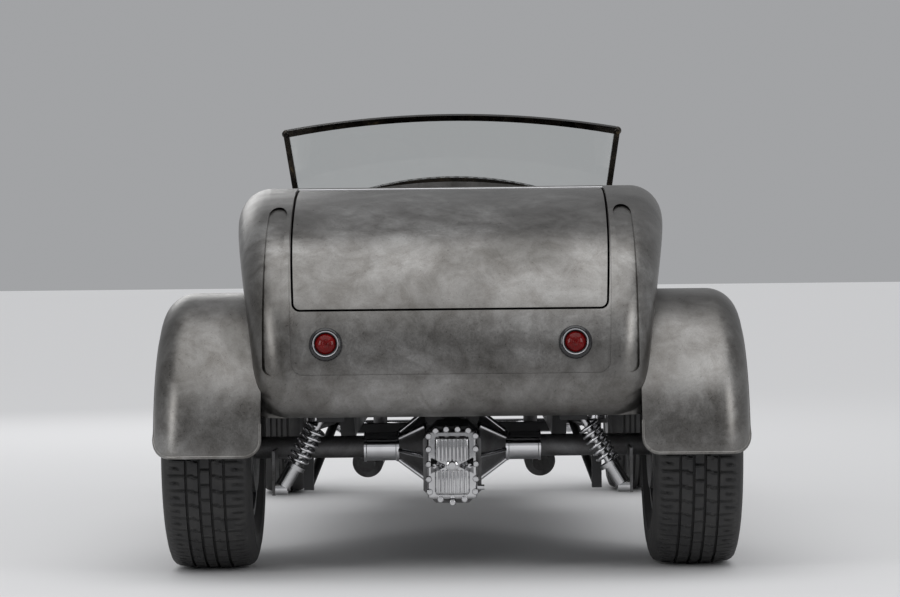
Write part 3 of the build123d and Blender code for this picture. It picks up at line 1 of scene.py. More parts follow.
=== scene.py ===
# %% [markdown]
# # Dressing a bare-steel roadster
# The car arrives as imported solids in metres: +X runs forward, +Y to the driver's left, +Z up.
# This lesson keeps every solid whose shape is right, gives each a finish, and models
# what solids do poorly: tyre tread, coil springs, a ribbed axle cover, rolled edges and a seat.

# %% Load the imported car
import json
from math import asin, atan2, cos, exp, floor, pi, radians, sin, sqrt

import bmesh
import bpy
from mathutils import Matrix, Quaternion, Vector


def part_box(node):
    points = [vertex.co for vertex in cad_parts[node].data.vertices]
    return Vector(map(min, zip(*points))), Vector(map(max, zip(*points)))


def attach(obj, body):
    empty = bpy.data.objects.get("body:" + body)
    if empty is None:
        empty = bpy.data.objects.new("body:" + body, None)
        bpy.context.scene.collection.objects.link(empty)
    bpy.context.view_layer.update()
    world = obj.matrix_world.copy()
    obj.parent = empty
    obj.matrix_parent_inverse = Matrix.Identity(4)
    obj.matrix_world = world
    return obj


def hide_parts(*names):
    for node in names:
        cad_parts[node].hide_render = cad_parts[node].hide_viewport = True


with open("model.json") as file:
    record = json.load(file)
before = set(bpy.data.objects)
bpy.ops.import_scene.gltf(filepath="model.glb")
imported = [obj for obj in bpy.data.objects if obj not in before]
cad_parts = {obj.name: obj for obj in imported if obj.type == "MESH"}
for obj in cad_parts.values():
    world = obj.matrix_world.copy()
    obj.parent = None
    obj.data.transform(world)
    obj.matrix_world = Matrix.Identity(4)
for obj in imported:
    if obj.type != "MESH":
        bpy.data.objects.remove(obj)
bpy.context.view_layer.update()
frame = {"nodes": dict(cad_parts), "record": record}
nodes = frame["nodes"]

# %% [markdown]
# ## The camera
# The photograph was taken from straight behind with a long lens. The rear tyres give the scale,
# and the tail, the windshield and the ground line give the distance, height and slight tilt.

# %% Camera
REAR_AXLE_X = sum(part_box("tyre_rear_left")[i].x for i in (0, 1)) / 2
CAMERA_BACK = 8.0            # behind the rear axle
CAMERA_HEIGHT = 0.86
CAMERA_SIDE = -0.046         # a little to the right of the centre line
LENS_MM = 110.4
AIM = Vector((REAR_AXLE_X - 0.46, 0.0, 0.777))
TILT = radians(-0.6)

scene = bpy.context.scene
scene.view_settings.view_transform = "Standard"
camera_data = bpy.data.cameras.new("photo_camera")
camera_data.lens = LENS_MM
camera_data.sensor_width = 36.0
camera = bpy.data.objects.new("photo_camera", camera_data)
scene.collection.objects.link(camera)
camera.location = (REAR_AXLE_X - CAMERA_BACK, CAMERA_SIDE, CAMERA_HEIGHT)
camera.rotation_mode = "QUATERNION"
looking = (AIM - camera.location).to_track_quat("-Z", "Y")
camera.rotation_quaternion = looking @ Quaternion((0, 0, 1), TILT)
camera_data.clip_end = 200
scene.camera = camera
print("camera stands at", tuple(round(c, 2) for c in camera.location))

# %% [markdown]
# ## Studio
# Bare metal shows its surroundings, so the studio matters as much as the finish. A pale floor and a
# plain grey world keep colours true. One wide lamp lights the floor evenly, as a white ceiling would,
# and soft panels beside and ahead of the car draw the long highlights that describe its curves.

# %% Floor, world and lamps
FLOOR_HALF = 120.0
FLOOR_COLOR = (0.78, 0.78, 0.785, 1)
WORLD_COLOR, WORLD_STRENGTH = (0.72, 0.73, 0.75, 1), 0.50
CEILING_STRENGTH, CEILING_WIDTH, CEILING_LEAN = 1.3, radians(70), radians(-12)


def studio_floor():
    mesh = bpy.data.meshes.new("studio_floor")
    bm = bmesh.new()
    bmesh.ops.create_grid(bm, x_segments=1, y_segments=1, size=FLOOR_HALF)
    bm.to_mesh(mesh)
    bm.free()
    floor_object = bpy.data.objects.new("studio_floor", mesh)
    scene.collection.objects.link(floor_object)
    material = bpy.data.materials.new("pale_floor")
    material.use_nodes = True
    shader = material.node_tree.nodes["Principled BSDF"]
    shader.inputs["Base Color"].default_value = FLOOR_COLOR
    shader.inputs["Roughness"].default_value = 0.9
    shader.inputs["Specular IOR Level"].default_value = 0.15
    mesh.materials.append(material)


def add_lamp(name, kind, power):
    data = bpy.data.lights.new(name, kind)
    data.energy = power
    lamp = bpy.data.objects.new(name, data)
    scene.collection.objects.link(lamp)
    return lamp


def soft_panel(name, place, aim, size, power):
    lamp = add_lamp(name, "AREA", power)
    lamp.data.shape = "RECTANGLE"
    lamp.data.size, lamp.data.size_y = size
    lamp.location = place
    lamp.rotation_mode = "QUATERNION"
    lamp.rotation_quaternion = (Vector(aim) - Vector(place)).to_track_quat("-Z", "Y")


def soft_ceiling():
    """A wide, even light from above, a little behind the car, that reaches the whole floor."""
    lamp = add_lamp("soft_ceiling", "SUN", CEILING_STRENGTH)
    lamp.data.angle = CEILING_WIDTH
    lamp.rotation_euler = (0, CEILING_LEAN, 0)


studio_floor()
world = bpy.data.worlds.new("studio_world")
world.use_nodes = True
scene.world = world
backdrop = world.node_tree.nodes["Background"]
backdrop.inputs["Color"].default_value = WORLD_COLOR
backdrop.inputs["Strength"].default_value = WORLD_STRENGTH
soft_ceiling()
soft_panel("left_panel", (-6.2, 6.0, 3.7), (-1.2, 0, 0.7), (2.0, 4.2), 105)
soft_panel("right_panel", (-6.2, -6.0, 3.7), (-1.2, 0, 0.7), (2.0, 4.2), 95)
soft_panel("front_panel", (6.2, 2.4, 3.4), (1.0, 0, 0.6), (3.0, 2.2), 40)

# %% [markdown]
# ## Finishes
# Every finish is a small node tree on Object coordinates, which here are metres in the car's frame,
# so a texture scale of 50 means fifty features to the metre. One helper holds the shared wiring.

# %% A helper for node trees
MIX_COLOR_INPUTS = (0, 6, 7)     # the Mix node's sockets that apply to colours
MIX_COLOR_OUTPUT = 2


class Finish:
    """A material under construction: texture makers that return sockets, and the shader."""

    def __init__(self, name, color, metallic=0.0, roughness=0.5):
        self.material = bpy.data.materials.new(name)
        self.material.use_nodes = True
        self.tree = self.material.node_tree
        self.shader = self.tree.nodes["Principled BSDF"]
        self.shader.inputs["Base Color"].default_value = (*color, 1)
        self.shader.inputs["Metallic"].default_value = metallic
        self.shader.inputs["Roughness"].default_value = roughness
        self.coords = self.tree.nodes.new("ShaderNodeTexCoord").outputs["Object"]

    def node(self, kind, **settings):
        made = self.tree.nodes.new(kind)
        for key, value in settings.items():
            setattr(made, key, value)
        return made

    def link(self, source, target):
        self.tree.links.new(source, target)

    def noise(self, scale, detail=4.0, rough=0.55, distortion=0.0):
        made = self.node("ShaderNodeTexNoise")
        made.inputs["Scale"].default_value = scale
        made.inputs["Detail"].default_value = detail
        made.inputs["Roughness"].default_value = rough
        made.inputs["Distortion"].default_value = distortion
        self.link(self.coords, made.inputs["Vector"])
        return made.outputs["Fac"]

    def cells(self, scale):
        made = self.node("ShaderNodeTexVoronoi")
        made.inputs["Scale"].default_value = scale
        self.link(self.coords, made.inputs["Vector"])
        return made.outputs["Distance"]

    def ramp(self, source, stops):
        made = self.node("ShaderNodeValToRGB")
        while len(made.color_ramp.elements) < len(stops):
            made.color_ramp.elements.new(0.5)
        for element, (place, color) in zip(made.color_ramp.elements, stops):
            element.position = place
            element.color = (*color, 1)
        self.link(source, made.inputs["Fac"])
        return made.outputs["Color"]

    def spread(self, source, low, high, start=0.0, end=1.0):
        made = self.node("ShaderNodeMapRange")
        made.inputs["From Min"].default_value = start
        made.inputs["From Max"].default_value = end
        made.inputs["To Min"].default_value = low
        made.inputs["To Max"].default_value = high
        self.link(source, made.inputs["Value"])
        return made.outputs["Result"]

    def mix(self, share, first, second, how="MIX"):
        made = self.node("ShaderNodeMix", data_type="RGBA", blend_type=how)
        share_in, first_in, second_in = (made.inputs[at] for at in MIX_COLOR_INPUTS)
        share_in.default_value = share
        self.link(first, first_in)
        self.link(second, second_in)
        return made.outputs[MIX_COLOR_OUTPUT]

    def bump(self, layers):
        """Bump nodes in a chain, each (height socket, strength, depth in metres)."""
        normal = None
        for height, strength, depth in layers:
            made = self.node("ShaderNodeBump")
            made.inputs["Strength"].default_value = strength
            made.inputs["Distance"].default_value = depth
            self.link(height, made.inputs["Height"])
            if normal is not None:
                self.link(normal, made.inputs["Normal"])
            normal = made.outputs["Normal"]
        self.link(normal, self.shader.inputs["Normal"])

    def color_from(self, socket):
        self.link(socket, self.shader.inputs["Base Color"])

    def roughness_from(self, socket):
        self.link(socket, self.shader.inputs["Roughness"])


finishes = {}
print("finish helper ready")

# %% [markdown]
# ### Bare sheet steel
# The body is unpainted sheet: a grey metal, hand sanded in small swirls, clouded where it was filed
# and flecked with dark pits. Its grey is set darker than bare steel is, as painted shade for the
# dark surroundings it would reflect. Swirls come from noise bent by strong distortion, clouds from
# broad noise, and pits from a thresholded fine noise.


# %% Bare steel
def bare_steel():
    finish = Finish("bare_steel", (0.40, 0.40, 0.40), metallic=1.0, roughness=0.4)
    cloud = finish.noise(2.6, 6, 0.62, 0.8)
    blotch = finish.noise(13, 8, 0.66, 0.5)
    swirl = finish.noise(46, 3, 0.5, 4.5)
    grain = finish.noise(420, 2, 0.5)
    pits = finish.noise(120, 6, 0.72)
    # the tone ramp sits below bare steel's own grey: painted shade for the dark surroundings the
    # metal would reflect; its clouding is random tone
    tone = finish.ramp(cloud, [
        (0.30, (0.145, 0.140, 0.132)), (0.52, (0.260, 0.254, 0.245)), (0.72, (0.420, 0.415, 0.405)),
    ])
    worn = finish.ramp(blotch, [(0.34, (0.64, 0.625, 0.61)), (0.62, (1, 1, 1))])
    sanded = finish.ramp(swirl, [(0.35, (0.84, 0.84, 0.84)), (0.65, (1.0, 1.0, 1.0))])
    flecks = finish.ramp(pits, [(0.33, (0.30, 0.285, 0.27)), (0.385, (1, 1, 1))])
    color = finish.mix(1.0, tone, worn, "MULTIPLY")
    color = finish.mix(1.0, color, sanded, "MULTIPLY")
    color = finish.mix(0.55, color, flecks, "MULTIPLY")
    finish.color_from(color)
    polish = finish.mix(0.5, swirl, blotch)
    finish.roughness_from(finish.spread(polish, 0.22, 0.50, 0.25, 0.75))
    finish.bump([(blotch, 0.10, 0.0012), (swirl, 0.12, 0.0005), (grain, 0.10, 0.0002)])
    return finish.material


finishes["bare_steel"] = bare_steel()
print("made", finishes["bare_steel"].name)

# %% [markdown]
# ### Plated, polished and cast metal
# Chrome and polished aluminium are smooth metals with faint smudges. Castings are rough and pitted.
# The windshield frame is brass that was plated dark, with a few brass-coloured flecks here and there.


# %% Other metals
def smudged_metal(name, color, low, high, haze):
    finish = Finish(name, color, metallic=1.0, roughness=low)
    smear = finish.noise(9, 6, 0.6, 1.2)
    dust = finish.noise(160, 3, 0.6)
    dull = tuple(c * (1 - haze) for c in color)
    finish.color_from(finish.ramp(smear, [(0.35, dull), (0.65, color)]))
    finish.roughness_from(finish.spread(finish.mix(0.35, smear, dust), low, high, 0.3, 0.7))
    finish.bump([(dust, 0.03, 0.0002)])
    return finish.material


def cast_metal():
    finish = Finish("cast_grey", (0.17, 0.17, 0.175), metallic=0.85, roughness=0.6)
    skin = finish.noise(240, 5, 0.65)
    stain = finish.noise(8, 6, 0.6, 0.6)
    tone = finish.ramp(stain, [(0.3, (0.075, 0.072, 0.07)), (0.7, (0.24, 0.24, 0.245))])
    finish.color_from(tone)
    finish.roughness_from(finish.spread(skin, 0.42, 0.72, 0.3, 0.7))
    finish.bump([(skin, 0.35, 0.0008)])
    return finish.material


def dark_brass():
    finish = Finish("dark_brass", (0.10, 0.085, 0.06), metallic=1.0, roughness=0.25)
    fleck_noise = finish.noise(22, 7, 0.7, 0.6)
    # the ramp's top stop puts a few brass-coloured flecks where the noise is highest
    tone = finish.ramp(fleck_noise, [
        (0.40, (0.030, 0.028, 0.027)), (0.64, (0.060, 0.052, 0.042)), (0.80, (0.30, 0.22, 0.11)),
    ])
    finish.color_from(tone)
    finish.roughness_from(finish.spread(fleck_noise, 0.16, 0.38, 0.3, 0.7))
    finish.bump([(finish.noise(300, 3), 0.05, 0.0003)])
    return finish.material


def painted(name, dark, light, low, high, peel):
    finish = Finish(name, light, metallic=0.0, roughness=low)
    dust = finish.noise(6, 7, 0.65, 0.4)
    skin = finish.noise(340, 2)
    finish.color_from(finish.ramp(dust, [(0.35, dark), (0.7, light)]))
    finish.roughness_from(finish.spread(dust, low, high, 0.3, 0.7))
    finish.bump([(skin, peel, 0.0003)])
    return finish.material


# colour, lowest and highest roughness, share darkened by haze
BRIGHT_METALS = {
    "satin_steel": ((0.55, 0.55, 0.56), 0.26, 0.42, 0.10),
    "chrome": ((0.80, 0.80, 0.82), 0.05, 0.14, 0.10),
    "polished_aluminium": ((0.62, 0.62, 0.63), 0.10, 0.22, 0.20),
}
# dusty and clean colour, lowest and highest roughness, strength of the surface's peel
PAINTS = {
    "dark_paint": ((0.016, 0.016, 0.017), (0.04, 0.04, 0.042), 0.35, 0.6, 0.06),
    "wheel_paint": ((0.03, 0.03, 0.032), (0.06, 0.06, 0.063), 0.25, 0.45, 0.06),
    "gloss_black": ((0.012, 0.012, 0.013), (0.024, 0.024, 0.025), 0.1, 0.2, 0.02),
    "gauge_face": ((0.60, 0.56, 0.45), (0.74, 0.70, 0.60), 0.3, 0.5, 0.02),
}
for name, look in BRIGHT_METALS.items():
    finishes[name] = smudged_metal(name, *look)
finishes["cast_grey"] = cast_metal()
finishes["dark_brass"] = dark_brass()
for name, look in PAINTS.items():
    finishes[name] = painted(name, *look)
print("metals and paints:", len(finishes))

# %% [markdown]
# ### Rubber, hide, lenses and glass
# Tyre rubber is nearly black with grey dust. The hide is dark brown with pebbled grain from cells.
# The lamp lens is deep red and lets a little light in, and the glass panes let all of it through.


# %% Rubber, leather, lenses, glass
def tyre_rubber():
    finish = Finish("tyre_rubber", (0.02, 0.02, 0.021), roughness=0.7)
    dust = finish.noise(18, 7, 0.68, 0.5)
    skin = finish.noise(420, 3, 0.6)
    tone = finish.ramp(dust, [(0.32, (0.011, 0.011, 0.012)), (0.72, (0.045, 0.044, 0.043))])
    finish.color_from(tone)
    finish.roughness_from(finish.spread(dust, 0.55, 0.85, 0.3, 0.7))
    finish.bump([(skin, 0.16, 0.0004)])
    return finish.material


def dark_hide():
    finish = Finish("dark_hide", (0.06, 0.038, 0.028), roughness=0.45)
    pebbles = finish.cells(330)
    stain = finish.noise(7, 6, 0.6, 0.4)
    tone = finish.ramp(stain, [(0.3, (0.030, 0.018, 0.013)), (0.7, (0.085, 0.052, 0.036))])
    finish.color_from(tone)
    finish.roughness_from(finish.spread(pebbles, 0.34, 0.58))
    finish.bump([(finish.noise(26, 5, 0.6), 0.10, 0.002), (pebbles, 0.30, 0.0006)])
    return finish.material


def red_lens():
    finish = Finish("red_lens", (0.16, 0.003, 0.003), roughness=0.08)
    finish.shader.inputs["Transmission Weight"].default_value = 0.2
    finish.shader.inputs["IOR"].default_value = 1.3
    haze = finish.noise(60, 4)
    tone = finish.ramp(haze, [(0.35, (0.11, 0.002, 0.002)), (0.7, (0.21, 0.004, 0.004))])
    finish.color_from(tone)
    finish.roughness_from(finish.spread(haze, 0.05, 0.14, 0.3, 0.7))
    return finish.material


def clear_glass(name, tint):
    finish = Finish(name, tint, roughness=0.03)
    finish.shader.inputs["Transmission Weight"].default_value = 1.0
    finish.shader.inputs["IOR"].default_value = 1.45
    finish.roughness_from(finish.spread(finish.noise(14, 6, 0.6), 0.0, 0.06, 0.35, 0.7))
    return finish.material


finishes["tyre"] = tyre_rubber()
finishes["leather"] = dark_hide()
finishes["red_lens"] = red_lens()
finishes["glass"] = clear_glass("pane_glass", (0.95, 0.97, 0.96))
finishes["glass_clear"] = clear_glass("lens_glass", (0.93, 0.95, 0.96))
slot_of = {row["node"]: row["material_slot"] for row in frame["record"]["subparts"]}
slot_of["exhaust_pipes"] = "cast_grey"   # a guess: used pipes are dull
for name, solid in nodes.items():
    solid.data.materials.clear()
    solid.data.materials.append(finishes[slot_of[name]])
print("finishes:", sorted(finishes))

# %% [markdown]
# ## Working pieces
# A new piece is a bmesh that becomes a mesh object at the origin, rides on a body and takes a
# finish. The other helpers each add one simple shape to a bmesh: a bar, a rounded block, a turned
# profile, a round wire or a bolt. Most of the car's fittings can be built up from those five.

# %% Helpers for pieces
SIDES = {"left": 1, "right": -1}     # each side's sign along y
made = []


def finish_piece(bm, name, body, slot, replaces=(), smooth_angle=35):
    mesh = bpy.data.meshes.new(name)
    bmesh.ops.remove_doubles(bm, verts=bm.verts, dist=1e-6)
    bmesh.ops.recalc_face_normals(bm, faces=bm.faces)
    bm.to_mesh(mesh)
    bm.free()
    piece = bpy.data.objects.new(name, mesh)
    scene.collection.objects.link(piece)
    mesh.materials.append(finishes[slot])
    for polygon in mesh.polygons:
        polygon.use_smooth = True
    mesh.set_sharp_from_angle(angle=radians(smooth_angle))
    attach(piece, body)
    if replaces:
        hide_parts(*replaces)
    made.append(name)
    return piece


def axis_matrix(origin, way):
    """A frame at origin whose z runs along way."""
    turn = Vector(way).to_track_quat("Z", "Y").to_matrix().to_4x4()
    return Matrix.Translation(Vector(origin)) @ turn


def add_bar(bm, start, end, radius, segments, tip=None):
    """A bar with that many sides, tapered to radius tip if one is given, between two points."""
    bmesh.ops.create_cone(
        bm, cap_ends=True, segments=segments, radius1=radius, radius2=radius if tip is None else tip,
        depth=(end - start).length, matrix=axis_matrix((start + end) / 2, end - start),
    )


def add_block(bm, low, high, bevel):
    """A box between two corners with rounded edges."""
    place = Matrix.Translation((low + high) / 2) @ Matrix.Diagonal((*(high - low), 1))
    cube = bmesh.ops.create_cube(bm, size=1, matrix=place)
    edges = list({edge for v in cube["verts"] for edge in v.link_edges})
    bmesh.ops.bevel(
        bm, geom=edges, offset=bevel, segments=3, profile=0.5, affect="EDGES", material=-1
    )


def add_spun(bm, profile, place, steps):
    """A profile of (radius, height) points turned a full circle about z, then put in place."""
    before = set(bm.verts)
    verts = [bm.verts.new((radius, 0, height)) for radius, height in profile]
    edges = [bm.edges.new(pair) for pair in zip(verts, verts[1:])]
    bmesh.ops.spin(
        bm, geom=[*verts, *edges], cent=(0, 0, 0), axis=(0, 0, 1), angle=2 * pi, steps=steps,
        use_merge=True,
    )
    spun = [v for v in bm.verts if v not in before]
    bmesh.ops.remove_doubles(bm, verts=spun, dist=1e-7)
    spun = [v for v in bm.verts if v not in before]
    bmesh.ops.transform(bm, matrix=place, verts=spun)


def add_wire(bm, points, radius):
    """A round wire along points, made as a bevelled curve and taken into the mesh."""
    data = bpy.data.curves.new("wire", "CURVE")
    data.dimensions = "3D"
    data.bevel_depth = radius
    data.bevel_resolution = 4
    data.use_fill_caps = True
    line = data.splines.new("POLY")
    line.points.add(len(points) - 1)
    for point, place in zip(line.points, points):
        point.co = (*place, 1)
    carrier = bpy.data.objects.new("wire", data)
    mesh = bpy.data.meshes.new_from_object(carrier)
    bm.from_mesh(mesh)
    bpy.data.meshes.remove(mesh)
    bpy.data.objects.remove(carrier)
    bpy.data.curves.remove(data)


def add_hex_bolt(bm, base, way, across, height):
    """A six-sided bolt head with a washer under it."""
    way = Vector(way).normalized()
    washer_top = base + way * height * 0.25
    add_bar(bm, base, washer_top, across * 0.72, 24)
    add_bar(bm, washer_top, base + way * height, across / sqrt(3), 6)


print("piece helpers ready")

# %% [markdown]
# ## Tyres
# A road tyre is a turned shape with a cut tread. The section is drawn once with its grooves and
# sidewall rings, spun about the axle, and then every few steps a slanted row of tread faces is
# pushed in to make the cross slots between blocks.

# %% Tyres
TREAD_STEPS = 400
SLOT_PITCH = 8               # spin steps from one cross slot to the next
ROWS = (-0.98, -0.52, -0.157, 0.157, 0.52, 0.98)   # groove places as shares of the tread's half
LAND_COLUMNS = 4             # faces across one row of tread
GROOVE_W = 0.008
GROOVE_DEPTH = 0.009
GROOVE_SLOPE = 0.001         # how far a groove's wall leans
SLOT_DEPTH = 0.006
TREAD_DROP = 0.007
BEAD_R = 0.2025
BEAD_INSET = 0.025
SHOULDER = 0.023
RIDGE, RIDGE_FOOT, RIDGE_TOP = 0.0012, 0.004, 0.0025   # height, half widths of foot and top
RIDGES_AT = (5, 3)           # points of the wall curve that carry a ridge, last one first
# share of the way up the sidewall, share of its bulge
WALL_CURVE = (
    (0, 0), (0.10, 0.34), (0.22, 0.66), (0.36, 0.88), (0.52, 0.985), (0.66, 0.98), (0.80, 0.89),
    (0.91, 0.68), (0.965, 0.42),
)


def tyre_section(radius, width):
    """Profile points (y, r) from bead to bead, and the land of each tread row as (start, stop)."""
    half, bead = width / 2, width / 2 - BEAD_INSET
    tread = half - SHOULDER
    edge_r = radius - TREAD_DROP
    wall = []
    for share, bulge in WALL_CURVE:
        wall.append((bead + (half - bead) * bulge, BEAD_R + (edge_r - BEAD_R) * share))
    for at in RIDGES_AT:
        y, r = wall[at]
        wall[at:at + 1] = [
            (y, r - RIDGE_FOOT), (y + RIDGE, r - RIDGE_TOP), (y + RIDGE, r + RIDGE_TOP),
            (y, r + RIDGE_FOOT),
        ]
    profile = [(-y, r) for y, r in wall]
    lands = []
    for left, right in zip(ROWS, ROWS[1:]):
        groove_left, groove_right = left != ROWS[0], right != ROWS[-1]
        start = left * tread + (GROOVE_W / 2 if groove_left else 0)
        stop = right * tread - (GROOVE_W / 2 if groove_right else 0)
        points = []
        for step in range(LAND_COLUMNS + 1):
            y = start + (stop - start) * step / LAND_COLUMNS
            points.append((y, radius - TREAD_DROP * (y / tread) ** 2))
        if groove_left:
            profile.append((start - GROOVE_SLOPE, points[0][1] - GROOVE_DEPTH))
        profile.extend(points)
        if groove_right:
            profile.append((stop + GROOVE_SLOPE, points[-1][1] - GROOVE_DEPTH))
        lands.append((start, stop))
    profile.extend(reversed(wall))
    return profile, lands


def is_slot(row, column, step):
    """Whether a tread face lies in a cross slot.

    The middle rib is cut straight across, its neighbours on a slant, and each shoulder has long slots
    that carry the slant on, with a short one on its outer half between every two.
    """
    place = step % SLOT_PITCH
    if row == 2:
        return place == SLOT_PITCH // 2
    if row in (1, 3):
        return place == column // 2
    outer_half = column < 2 if row == 0 else column >= 2
    start = 0 if row == 0 else 1
    return place == start or (outer_half and place == start + SLOT_PITCH // 2)


def in_slot(face, radius, lands):
    """Whether a face is part of the tread and lies in a cross slot."""
    lowest_tread = radius - TREAD_DROP - 0.001
    if min(Vector((v.co.x, v.co.z)).length for v in face.verts) < lowest_tread:
        return False
    middle = face.calc_center_median()
    step = floor(atan2(middle.x, middle.z) / (2 * pi) * TREAD_STEPS)
    for row, (start, stop) in enumerate(lands):
        if start < middle.y < stop:
            column = int((middle.y - start) / (stop - start) * LAND_COLUMNS)
            return is_slot(row, column, step)
    return False


def cut_tyre(radius, width):
    """A tyre about the origin: the section spun, and its slot faces pushed in."""
    profile, lands = tyre_section(radius, width)
    bm = bmesh.new()
    verts = [bm.verts.new((0, y, r)) for y, r in profile]
    edges = [bm.edges.new(pair) for pair in zip(verts, verts[1:])]
    bmesh.ops.spin(
        bm, geom=[*verts, *edges], cent=(0, 0, 0), axis=(0, 1, 0), angle=2 * pi, steps=TREAD_STEPS,
        use_merge=True,
    )
    slots = [face for face in bm.faces if in_slot(face, radius, lands)]
    pushed = bmesh.ops.extrude_face_region(bm, geom=slots)
    for v in pushed["geom"]:
        if isinstance(v, bmesh.types.BMVert):
            v.co -= Vector((v.co.x, 0, v.co.z)).normalized() * SLOT_DEPTH
    return bm, len(slots)


for end in ("rear", "front"):
    low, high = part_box(f"tyre_{end}_left")
    tyre, slot_count = cut_tyre((high.z - low.z) / 2, high.y - low.y)
    for word in SIDES:
        node, body = f"tyre_{end}_{word}", f"{end}_wheel_{word}"
        low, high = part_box(node)
        copy = tyre.copy()
        bmesh.ops.translate(copy, vec=(low + high) / 2, verts=copy.verts)
        finish_piece(copy, f"road_{node}", body, "tyre", replaces=(node,), smooth_angle=30)
    print(end, "tyres with", slot_count, "slot faces each")
    tyre.free()

# %% [markdown]
# ## Coil springs
# A spring is a round wire wound on a helix. Spinning a small circle about the damper's line while
# it climbs gives exactly that, so each coil-over gets a real wire in place of its ringed sleeve.

# %% Coil springs
DAMPER_X = REAR_AXLE_X - 0.150
DAMPER_LOW = Vector((DAMPER_X, 0.487, 0.238))
DAMPER_TOP = Vector((DAMPER_X, 0.365, 0.445))
DAMPER_BODY_L = 0.080
DAMPER_EYE_R = 0.019
SPRING_SEAT_T = 0.012
SPRING_R = 0.027
WIRE_R = 0.005
COILS = 6.5
COIL_STEPS = 28              # spin steps in one turn


def coil_spring(word, side):
    mirror = Vector((1, side, 1))
    low, top = DAMPER_LOW * mirror, DAMPER_TOP * mirror
    way = (top - low).normalized()
    start = low + way * DAMPER_BODY_L
    length = (top - start).length - DAMPER_EYE_R - SPRING_SEAT_T
    bm = bmesh.new()
    bmesh.ops.create_circle(
        bm, cap_ends=True, segments=12, radius=WIRE_R,
        matrix=Matrix.Translation((SPRING_R, 0, WIRE_R)) @ Matrix.Rotation(pi / 2, 4, "X"),
    )
    steps = int(COILS * COIL_STEPS)
    bmesh.ops.spin(
        bm, geom=bm.faces[:] + bm.edges[:] + bm.verts[:], cent=(0, 0, 0), axis=(0, 0, 1),
        angle=COILS * 2 * pi, dvec=(0, 0, (length - 2 * WIRE_R) / steps), steps=steps,
    )
    bmesh.ops.transform(bm, matrix=axis_matrix(start, way), verts=bm.verts)
    name, node = f"coil_spring_{word}", "coil_over_springs"
    piece = finish_piece(bm, name, "chassis", "chrome", replaces=(node,))
    print(piece.name, "turns:", COILS, "length:", round(length, 3))


for word, side in SIDES.items():
    coil_spring(word, side)

# %% [markdown]
# ## Quick-change cover
# The cover is a polished casting: a rim scalloped by round bolt bosses, an upper and a lower field of
# upright fins, and a round boss in the middle between two pointed lugs. Each is a bevelled block, a
# turned shape or a tapered bar, laid over the plain solid's place and inside its outline.

# %% Axle cover
COVER_LOW, COVER_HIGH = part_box("quick_change_cover")
COVER_MID = (COVER_LOW + COVER_HIGH) / 2
COVER_FINS, FIN_PITCH, FIN_HALF = 8, 0.0106, 0.0034
RIM_HALF_W, RIM_LOW, RIM_HIGH = 0.070, -0.095, 0.101
FIELD_HALF_W, FIELD_HALF_H = 0.050, 0.084
RIM_X = COVER_LOW.x + 0.022          # rear face of the rim
FIELD_X = COVER_LOW.x + 0.013        # rear face of the raised field
BOSS_R = 0.0098
# across and up from the cover's middle, one side of each pair
SIDE_BOSSES = (
    (0.066, 0.083), (0.066, 0.046), (0.066, 0.004), (0.066, -0.038), (0.064, -0.074),
)
END_BOSSES = ((0.046, 0.098), (0.016, 0.102), (0.034, -0.095))
LOWEST_BOSS = (0.0, -0.104)
FIN_ROWS = ((0.012, 0.078), (-0.078, -0.012))    # foot and top of each field's fins
BACKWARD = Vector((-1, 0, 0))


def cover_point(x, y, z):
    return Vector((x, y, COVER_MID.z + z))


def cover_block(bm, x, half_w, low, high, bevel, y=0.0):
    far_corner = cover_point(COVER_HIGH.x, y + half_w, high)
    add_block(bm, cover_point(x, y - half_w, low), far_corner, bevel)


def cover_boss(bm, y, z):
    depth = COVER_HIGH.x - RIM_X + 0.003
    add_spun(bm, [
        (0, 0), (BOSS_R, 0), (BOSS_R, depth - 0.004), (BOSS_R - 0.002, depth - 0.001),
        (0.006, depth), (0, depth),
    ], axis_matrix(cover_point(COVER_HIGH.x, y, z), BACKWARD), 20)
    add_hex_bolt(bm, cover_point(RIM_X - 0.002, y, z), BACKWARD, 0.0095, 0.008)


def axle_cover():
    bm = bmesh.new()
    cover_block(bm, RIM_X, RIM_HALF_W, RIM_LOW, RIM_HIGH, 0.010)
    cover_block(bm, FIELD_X, FIELD_HALF_W, -FIELD_HALF_H, FIELD_HALF_H, 0.012)
    bosses = [(sign * y, z) for y, z in (*SIDE_BOSSES, *END_BOSSES) for sign in (-1, 1)]
    for y, z in (*bosses, LOWEST_BOSS):
        cover_boss(bm, y, z)
    for low, high in FIN_ROWS:
        for number in range(COVER_FINS):
            y = (number - (COVER_FINS - 1) / 2) * FIN_PITCH
            cover_block(bm, COVER_LOW.x + 0.002, FIN_HALF, low, high, 0.003, y)
    add_spun(bm, [
        (0, 0), (0.018, 0), (0.016, 0.009), (0.011, 0.0115), (0.010, 0.0125), (0, 0.0125),
    ], axis_matrix(cover_point(FIELD_X, 0, 0), BACKWARD), 32)
    for sign in (-1, 1):
        root, tip = (cover_point(FIELD_X, sign * y, 0) for y in (0.060, 0.020))
        add_bar(bm, root, tip, 0.022, 4, 0.004)
        add_hex_bolt(bm, cover_point(FIELD_X - 0.006, sign * 0.050, 0), BACKWARD, 0.011, 0.010)
    plug = cover_point(COVER_MID.x, -RIM_HALF_W, -0.062)
    add_bar(bm, plug, plug - Vector((0, 0.020, 0)), 0.0075, 6)
    node = "quick_change_cover"
    finish_piece(bm, "axle_cover_casting", "chassis", "polished_aluminium", replaces=(node,))
    print("axle cover with", len(bosses) + 1, "bosses and", 2 * COVER_FINS, "fins")


axle_cover()

# %% [markdown]
# ## Tail lamps
# Each lamp is a red lens with fine pressed rings inside a plated bezel, bedded on black rubber. The
# lens rings are part of a turned profile, so they catch light as pressed glass does, and two black
# rings are turned beside the bezel, one outside it and one between it and the lens.

